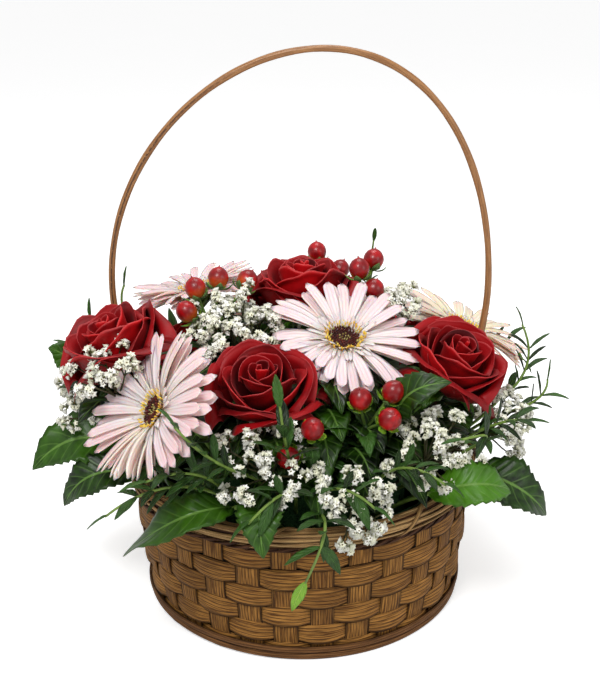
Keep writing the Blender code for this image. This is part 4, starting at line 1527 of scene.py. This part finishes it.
@dataclass
class BroadLeaf(Plant):
    """Broad toothed leaf on its stalk, with smaller leaves round its foot."""

    UPPER, UNDER, STALK = range(3)  # its finishes

    base: Point
    middle: Point
    tip: Point
    width: float
    # brightness, partly painted light and shade for where the leaf sits
    shade: LeafShade
    teeth: int = 11
    fold: float = 0.22
    wave: float = 0.06
    lean: float = -0.8          # how far its upper side turns to the back, or to the front
    fillers: int = 0
    sector: tuple[float, float] = (0.0, 0.0)    # where the fillers stand, degrees from the right
    levels: int = 5             # of the fillers, each higher and further in than the last
    hang: float = 0.0           # how far the fillers droop over the rim
    stalk_radius: float = 0.0013

    def build_fillers(self, piece: Piece, dice: random.Random) -> None:
        """Fill a sector between the foam and the flowers with smaller leaves in levels."""
        for number in range(self.fillers):
            turn = math.radians(self.sector[0] + (self.sector[1] - self.sector[0])
                                * (number + dice.uniform(0.2, 0.8)) / self.fillers)
            out = outward(turn)
            level = number % self.levels
            start, rise = 0.068 - 0.009 * level, 0.104 + 0.011 * level
            base = out * start + UP * rise
            middle = out * (start + 0.024) + UP * (rise + 0.012 + dice.uniform(-0.004, 0.004))
            tip = (out * (start + 0.046 + dice.uniform(-0.003, 0.005))
                   + UP * (rise + 0.004 - self.hang - dice.uniform(0, 0.012)))
            toothed_leaf(piece, base, middle, tip, dice.uniform(0.020, 0.028),
                         dice.uniform(0.0, 0.22), dice, finish=self.UPPER, under=self.UNDER)
            way = unit(middle - base)
            stalk = tube(self.planting.stem_path(base + way * 0.002, way, 4), 0.0009, sides=5)
            piece.add(stalk, tone=0.4, finish=self.STALK)

    def dress(self) -> None:
        """Make the piece."""
        made = self.finishes
        piece, dice = self.start("blades", "broad_leaves", [made.leaf, made.leaf_under, made.stem])
        base, middle, tip = (np.array(point) for point in (self.base, self.middle, self.tip))
        form = leaf_form(base, middle, tip, self.width, self.teeth, self.fold, self.wave,
                         dice.random(), up=UP + np.array((0.0, self.lean, 0.0)))
        piece.add(blade(form, across=10, along=4 * self.teeth, thickness=0.0008),
                  tone=self.shade.value, finish=self.UPPER, under=self.UNDER)
        way = unit(middle - base)
        piece.add(tube(self.planting.stem_path(base + way * 0.004, way), self.stalk_radius),
                  tone=0.7, finish=self.STALK)
        self.build_fillers(piece, dice)
        piece.stand()


@dataclass(frozen=True)
class Twig:
    """One stem of a narrow-leaved sprig, in millimetres."""

    base: Point
    middle: Point
    tip: Point
    pairs: int                  # pairs of leaves
    leaf: float                 # length of its leaves
    tender: bool = False        # whether its tip is young and bright


@dataclass
class NarrowSprig(Plant):
    """Sprig of narrow paired leaves along thin stems."""

    LEAF, STEM, TENDER = range(3)   # its finishes

    twigs: tuple[Twig, ...]
    tone: float = 0.30
    stem_radius: float = 0.0010
    leaf_width: float = 0.30    # width of a leaf as a share of its length
    tender_width: float = 0.21

    def build_lance(self, piece: Piece, foot: Array, end: Array, dice: random.Random,
                    tone: float, finish: int) -> None:
        """Add one lance-shaped leaf."""
        length = np.linalg.norm(end - foot)
        sag = UP * length * dice.uniform(0.02, 0.12)
        up = UP if abs(unit(end - foot)[2]) < 0.85 else unit(foot * (1, 1, 0)) + UP * 0.2
        width = (self.tender_width if finish == self.TENDER else self.leaf_width) * length
        form = leaf_form(foot, (foot + end) / 2 + sag, end, width,
                         fold=dice.uniform(0.15, 0.45), wave=0.03, phase=dice.random(), up=up,
                         widest=0.9)
        piece.add(blade(form, across=6, along=12, thickness=0.0006), tone=tone, finish=finish)

    def build_twig(self, piece: Piece, twig: Twig, dice: random.Random) -> None:
        """Add one stem with its pairs of leaves."""
        base, middle, tip = (np.array(metres(point))
                             for point in (twig.base, twig.middle, twig.tip))
        leaf = twig.leaf / MILLIMETRES
        run = bent(base, middle, tip, np.linspace(0, 1, 13))
        path = np.concatenate([self.planting.stem_path(base, middle - base)[:-1], run])
        piece.add(tube(path, np.linspace(1.25, 0.7, len(path)) * self.stem_radius), tone=0.9,
                  finish=self.STEM)
        steps = twig.pairs + 1
        nodes = bent(base, middle, tip, np.arange(steps + 1) / steps)
        for pair in range(twig.pairs):
            node = nodes[pair]
            along = unit(nodes[pair + 1] - nodes[max(pair - 1, 0)])
            across = np.cross(along, UP)
            across = unit(across) if np.linalg.norm(across) > 0.2 else RIGHT
            if pair % 4 > 1:    # each second two pairs stand across the others
                across = np.cross(along, across)
            size = leaf * (1.0 if pair % 2 else 0.78) * dice.uniform(0.88, 1.06)
            for side in (-1, 1):
                end = node + unit(across * side + along * dice.uniform(0.7, 1.1)) * size
                self.build_lance(piece, node, end, dice, self.tone + dice.uniform(-0.25, 0.25),
                                 self.LEAF)
        along = unit(nodes[-1] - nodes[-2])
        end = tip + along * leaf * (1.4 if twig.tender else 0.7)
        self.build_lance(piece, tip - along * 0.002, end, dice, self.tone + 0.3,
                         self.TENDER if twig.tender else self.LEAF)

    def dress(self) -> None:
        """Make the piece."""
        made = self.finishes
        piece, dice = self.start("spray", "narrow_leaves", [made.lance, made.stem, made.tender])
        for twig in self.twigs:
            self.build_twig(piece, twig, dice)
        piece.stand()


# ---------------------------------------------------------------- layout, in millimetres

# place, way that it faces, radius and spin in radians
ROSES: dict[str, tuple[Point, Point, float, float]] = {
    "rose_front": ((-23.5, -71, 176), (-0.02, -0.36, 0.93), 32.5, 2.4),
    "rose_left": ((-118, -43, 195), (-0.38, -0.1, 0.92), 33, 0.0),
    "rose_right": ((99, -36, 177), (0.3, -0.3, 0.9), 31, 0.0),
    "rose_top": ((2, 50, 202), (0.0, 0.06, 0.99), 34, 0.0),
    "rose_upper_right": ((74, 42, 164), (0.2, 0.1, 0.97), 24, 0.0),
    "rose_back_right": ((56, 104, 142), (0.38, 0.68, 0.62), 33, 0.0),
    "rose_back_left": ((-90, 90, 134), (-0.6, 0.6, 0.52), 31, 0.0),
}

# place, way that it faces and radius
GERBERAS: dict[str, tuple[Point, Point, float]] = {
    "gerbera_front_left": ((-82, -91, 160), (-0.8, -0.36, 0.48), 47),
    "gerbera_centre": ((26, -30, 179), (0.12, -0.36, 0.92), 48),
    "gerbera_right": ((108, 40, 160), (0.4, 0.06, 0.91), 46),
    "gerbera_top_left": ((-71, 62, 181), (-0.2, 0.12, 0.97), 43),
    "gerbera_back": ((-12, 118, 152), (-0.02, 0.76, 0.65), 42),
}

GERBERA_CHOICES: dict[str, dict[str, float]] = {       # lengths here are in metres
    "gerbera_front_left": {"cup": 17.0, "lean": 19.0, "edge_side": 250.0, "edge_roll": 55.0},
    "gerbera_centre": {"cup": 6.0, "lean_side": 250.0, "lean": -5.0, "disc_radius": 0.0115,
                       "short_side": 222.0, "short": 0.36},
    "gerbera_right": {"cup": 10.0, "cream": True},
    "gerbera_top_left": {"cup": 15.0},
}

WARM_BERRIES, RED_BERRIES = 0.8, 0.2    # tones of the berries

# fork, and the middle of each berry
HYPERICUMS: dict[str, tuple[Point, tuple[Point, ...]]] = {
    "hypericum_left": ((-56, 0, 168), ((-66, 4, 202), (-71, -6, 190), (-52, 12, 206),
                                       (-34, 16, 203))),
    "hypericum_top": ((40, 18, 172), ((38, 22, 208), (48, 36, 210), (47, 16, 196))),
    "hypericum_front_right": ((36, -66, 132), ((34, -77, 160), (53, -74, 163), (50, -90, 153))),
    "hypericum_front": ((4, -74, 128), ((6, -96, 150), (-8, -97, 133))),
    "hypericum_back": ((15, 86, 158), ((12, 93, 199), (28, 93, 186), (-4, 94, 184))),
    "hypericum_back_right": ((100, 80, 118), ((108, 98, 136), (96, 108, 128), (120, 88, 126))),
}

# fork, way that it grows, reach, half angle in degrees and branches
STATICES: dict[str, tuple[Point, Point, float, float, int]] = {
    "statice_upper_left": ((-40, -8, 155), (-0.1, -0.06, 0.99), 47, 54, 22),
    "statice_left": ((-106, -66, 155), (-0.24, -0.16, 0.95), 36, 40, 10),
    "statice_far_left": ((-118, -26, 138), (-0.84, -0.26, 0.48), 34, 52, 11),
    "statice_front_left": ((-18, -92, 116), (-0.02, -0.52, 0.85), 36, 66, 14),
    "statice_front": ((28, -100, 104), (0.22, -0.93, 0.32), 30, 55, 11),
    "statice_right": ((72, -70, 114), (0.24, -0.58, 0.78), 38, 62, 15),
    "statice_far_right": ((112, -30, 114), (0.86, -0.2, 0.45), 34, 50, 11),
    "statice_top_right": ((62, 10, 160), (0.02, 0.1, 0.99), 38, 26, 8),
    "statice_back_left": ((-42, 92, 106), (-0.4, 0.9, 0.3), 34, 55, 12),
    "statice_back": ((22, 98, 102), (0.1, 0.96, 0.3), 34, 52, 12),
    "statice_back_right": ((98, 36, 112), (0.88, 0.34, 0.34), 34, 52, 12),
}

# base, middle and tip of the midrib, width and shade, which partly paints light and shade for where
# the leaf sits
LEAVES: dict[str, tuple[Point, Point, Point, float, LeafShade]] = {
    "leaf_left": ((-100, -34, 104), (-136, -40, 120), (-169, -40, 98), 38, LeafShade.MIDDLE),
    "leaf_left_low": ((-100, -50, 100), (-128, -60, 104), (-148, -54, 80), 26, LeafShade.DARK),
    "leaf_front_left": ((-40, -104, 105), (-70, -122, 107), (-106, -100, 71), 29, LeafShade.MIDDLE),
    "leaf_front": ((-22, -106, 101), (-24, -126, 110), (-22, -136, 90), 26, LeafShade.MIDDLE),
    "leaf_right": ((74, -86, 103), (100, -100, 116), (122, -86, 104), 28, LeafShade.BRIGHT),
    "leaf_far_right": ((102, -50, 99), (128, -68, 98), (151, -58, 72), 31, LeafShade.DARK),
    "leaf_upper_left": ((-132, 12, 128), (-150, 14, 150), (-164, 12, 160), 24, LeafShade.MIDDLE),
    "leaf_inner_right": ((56, -66, 138), (62, -80, 164), (86, -82, 172), 24, LeafShade.DARK),
    "leaf_back_left": ((-100, 52, 102), (-130, 70, 118), (-152, 70, 92), 36, LeafShade.MIDDLE),
    "leaf_back": ((-22, 108, 102), (-24, 140, 112), (-30, 158, 80), 36, LeafShade.MIDDLE),
    "leaf_back_right": ((70, 92, 102), (94, 122, 108), (110, 128, 74), 34, LeafShade.DARK),
}

LEAF_CHOICES: dict[str, dict[str, object]] = {         # lengths here are in metres
    "leaf_left": {"fillers": 13, "sector": (160, 196)},
    "leaf_left_low": {"fillers": 8, "sector": (194, 220)},
    "leaf_front_left": {"fillers": 11, "sector": (218, 256), "lean": -0.4},
    "leaf_front": {"fillers": 10, "sector": (254, 290)},
    "leaf_right": {"fillers": 10, "sector": (288, 325)},
    "leaf_far_right": {"fillers": 12, "sector": (323, 372)},
    "leaf_back_right": {"fillers": 18, "sector": (10, 70), "hang": 0.006, "lean": 0.5},
    "leaf_back": {"fillers": 17, "sector": (68, 120), "hang": 0.006, "lean": 0.5},
    "leaf_back_left": {"fillers": 17, "sector": (118, 168), "hang": 0.006, "lean": 0.5},
}

SPRIGS: dict[str, tuple[Twig, ...]] = {
    "sprig_left": (
        Twig((-50, -96, 110), (-78, -120, 126), (-110, -122, 110), 6, 22),
        Twig((-30, -102, 124), (-50, -124, 146), (-68, -130, 168), 6, 20),
        Twig((-44, -98, 112), (-62, -118, 134), (-86, -128, 134), 6, 22)),
    "sprig_front": (
        Twig((11, -112, 104), (11, -142, 106), (1, -132, 72), 4, 23, tender=True),
        Twig((-6, -98, 128), (-9, -112, 148), (-12, -109, 170), 4, 26),
        Twig((14, -98, 112), (26, -122, 124), (40, -128, 116), 4, 22),
        Twig((-6, -100, 110), (-14, -124, 122), (-30, -132, 110), 4, 22)),
    "sprig_right": (
        Twig((94, -72, 122), (104, -100, 146), (88, -112, 150), 4, 18),
        Twig((46, -86, 114), (60, -110, 132), (80, -116, 124), 6, 20),
        Twig((100, -50, 122), (118, -68, 140), (134, -70, 142), 6, 20)),
    "sprig_upper_left": (
        Twig((-98, 22, 150), (-114, 22, 178), (-114, 26, 198), 2, 18),
        Twig((-112, 4, 140), (-132, 2, 158), (-146, 0, 166), 4, 18)),
    "sprig_top": (
        Twig((46, 72, 182), (48, 72, 196), (50, 68, 214), 2, 14),),
    "sprig_far_right": (
        Twig((128, 2, 124), (146, 6, 146), (142, 8, 174), 6, 19),
        Twig((126, -20, 124), (146, -30, 138), (152, -30, 152), 4, 18)),
    "sprig_back_left": (
        Twig((-124, 48, 126), (-140, 56, 144), (-144, 60, 164), 4, 20),
        Twig((-70, 96, 112), (-94, 122, 128), (-112, 132, 122), 6, 22)),
    "sprig_back": (
        Twig((40, 126, 116), (42, 152, 128), (44, 164, 104), 4, 22),
        Twig((0, 104, 114), (-2, 134, 130), (-4, 148, 120), 6, 22)),
    "sprig_back_right": (
        Twig((114, 62, 124), (140, 72, 138), (158, 78, 122), 4, 20),
        Twig((86, 80, 114), (112, 104, 130), (122, 112, 122), 6, 22)),
}


# ---------------------------------------------------------------- studio

@dataclass
class Studio:
    """Pale floor, white surround, soft lamps and the camera."""

    camera_place: Point = (0.0, -0.70, 0.43)
    pitch: float = 21.0
    roll: float = 0.64
    lens: float = 60.4
    shift: float = -0.0014
    surround: float = 0.50      # light from all round, as a share of what the camera sees there
    floor_glow: float = 0.50    # brings the floor that the camera sees close to white
    floor_size: float = 60.0
    aim: Point = (0.0, 0.0, 0.13)   # what the lamps look at

    def set_camera(self) -> None:
        """Stand the camera in front, looking down on the basket."""
        data = bpy.data.cameras.new("camera")
        data.lens, data.sensor_width, data.shift_x = self.lens, 36.0, self.shift
        data.clip_start = 0.01
        camera = bpy.data.objects.new("camera", data)
        bpy.context.scene.collection.objects.link(camera)
        camera.matrix_world = (Matrix.Translation(self.camera_place)
                               @ Matrix.Rotation(math.radians(90 - self.pitch), 4, "X")
                               @ Matrix.Rotation(math.radians(-self.roll), 4, "Z"))
        bpy.context.scene.camera = camera

    def set_lamp(self, name: str, place: Point, size: float, power: float) -> None:
        """Hang a soft square lamp that looks at the flowers."""
        data = bpy.data.lights.new(name, "AREA")
        data.shape, data.size, data.energy = "SQUARE", size, power
        lamp = bpy.data.objects.new(name, data)
        bpy.context.scene.collection.objects.link(lamp)
        aim = Vector(self.aim) - Vector(place)
        lamp.matrix_world = (Matrix.Translation(place)
                             @ aim.to_track_quat("-Z", "Y").to_matrix().to_4x4())

    def set_floor(self) -> None:
        """Lay the floor, which glows for the camera only."""
        bm = bmesh.new()
        bmesh.ops.create_grid(bm, x_segments=1, y_segments=1, size=self.floor_size)
        mesh = bpy.data.meshes.new("studio_floor")
        bm.to_mesh(mesh)
        bm.free()
        floor = bpy.data.objects.new("studio_floor", mesh)
        bpy.context.scene.collection.objects.link(floor)
        mesh.materials.append(Mottled("studio_floor", (0.93, 0.93, 0.93, 1), (0.91, 0.91, 0.91, 1),
                                      grain=3.0, roughness=0.9, relief=0.0001).make())
        nodes, links = mesh.materials[0].node_tree.nodes, mesh.materials[0].node_tree.links
        shader = nodes["Principled BSDF"]
        shader.inputs["Emission Color"].default_value = (1, 1, 1, 1)
        glow = nodes.new("ShaderNodeMath")
        glow.operation = "MULTIPLY"
        glow.inputs[1].default_value = self.floor_glow
        links.new(nodes.new("ShaderNodeLightPath").outputs["Is Camera Ray"], glow.inputs[0])
        links.new(glow.outputs[0], shader.inputs["Emission Strength"])

    def set_surround(self) -> None:
        """Make the surround white for the camera and dimmer for everything else."""
        world = bpy.data.worlds.new("studio_white")
        world.use_nodes = True
        nodes, links = world.node_tree.nodes, world.node_tree.links
        seen = nodes.new("ShaderNodeMapRange")
        links.new(nodes.new("ShaderNodeLightPath").outputs["Is Camera Ray"], seen.inputs[0])
        seen.inputs["To Min"].default_value = self.surround
        seen.inputs["To Max"].default_value = 1.0
        links.new(seen.outputs[0], nodes["Background"].inputs["Strength"])
        nodes["Background"].inputs["Color"].default_value = (1, 1, 1, 1)
        bpy.context.scene.world = world

    def build(self) -> None:
        """Set up the whole studio."""
        self.set_camera()
        self.set_floor()
        self.set_surround()
        self.set_lamp("key", (-0.25, -0.80, 1.10), 0.35, 9.0)
        self.set_lamp("fill", (0.80, -0.60, 0.55), 0.5, 2.0)
        self.set_lamp("top", (0.05, 0.35, 1.25), 0.5, 5.0)
        bpy.context.scene.view_settings.view_transform = "Standard"


def main() -> None:
    """Build the studio, the basket and the plants in order."""
    logging.basicConfig(level=logging.INFO, format="%(name)s %(message)s")
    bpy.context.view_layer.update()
    Studio().build()
    finishes, basket, planting = Finishes(), Basket(), Planting()
    dress_plain_parts(finishes)
    WovenWall(basket, finishes).dress()
    BaseBand(basket, finishes).dress()
    RimBundle(basket, finishes).dress()
    for side in ("front", "back"):
        RimLashing(basket, finishes, side).dress()
    for side in ("left", "right"):
        HandleBinding(basket, finishes, side).dress()
    Handle(finishes).dress()
    for name, (place, facing, radius, spin) in ROSES.items():
        Rose(name, finishes, planting, metres(place), facing, radius / MILLIMETRES, spin).dress()
    shapes = PetalShapes()
    for name, (place, facing, radius) in GERBERAS.items():
        Gerbera(name, finishes, planting, metres(place), facing, radius / MILLIMETRES, shapes,
                **GERBERA_CHOICES.get(name, {})).dress()
    for name, (fork, berries) in HYPERICUMS.items():
        Hypericum(name, finishes, planting, metres(fork), tuple(map(metres, berries)),
                  WARM_BERRIES if name == "hypericum_left" else RED_BERRIES).dress()
    floret = Statice.make_floret()
    for name, (fork, growth, reach, half_angle, branches) in STATICES.items():
        Statice(name, finishes, planting, metres(fork), growth, reach / MILLIMETRES, half_angle,
                branches, floret).dress()
    for name, (base, middle, tip, width, shade) in LEAVES.items():
        BroadLeaf(name, finishes, planting, metres(base), metres(middle), metres(tip),
                  width / MILLIMETRES, shade, **LEAF_CHOICES.get(name, {})).dress()
    for name, twigs in SPRIGS.items():
        NarrowSprig(name, finishes, planting, twigs).dress()


if __name__ == "__main__":
    main()
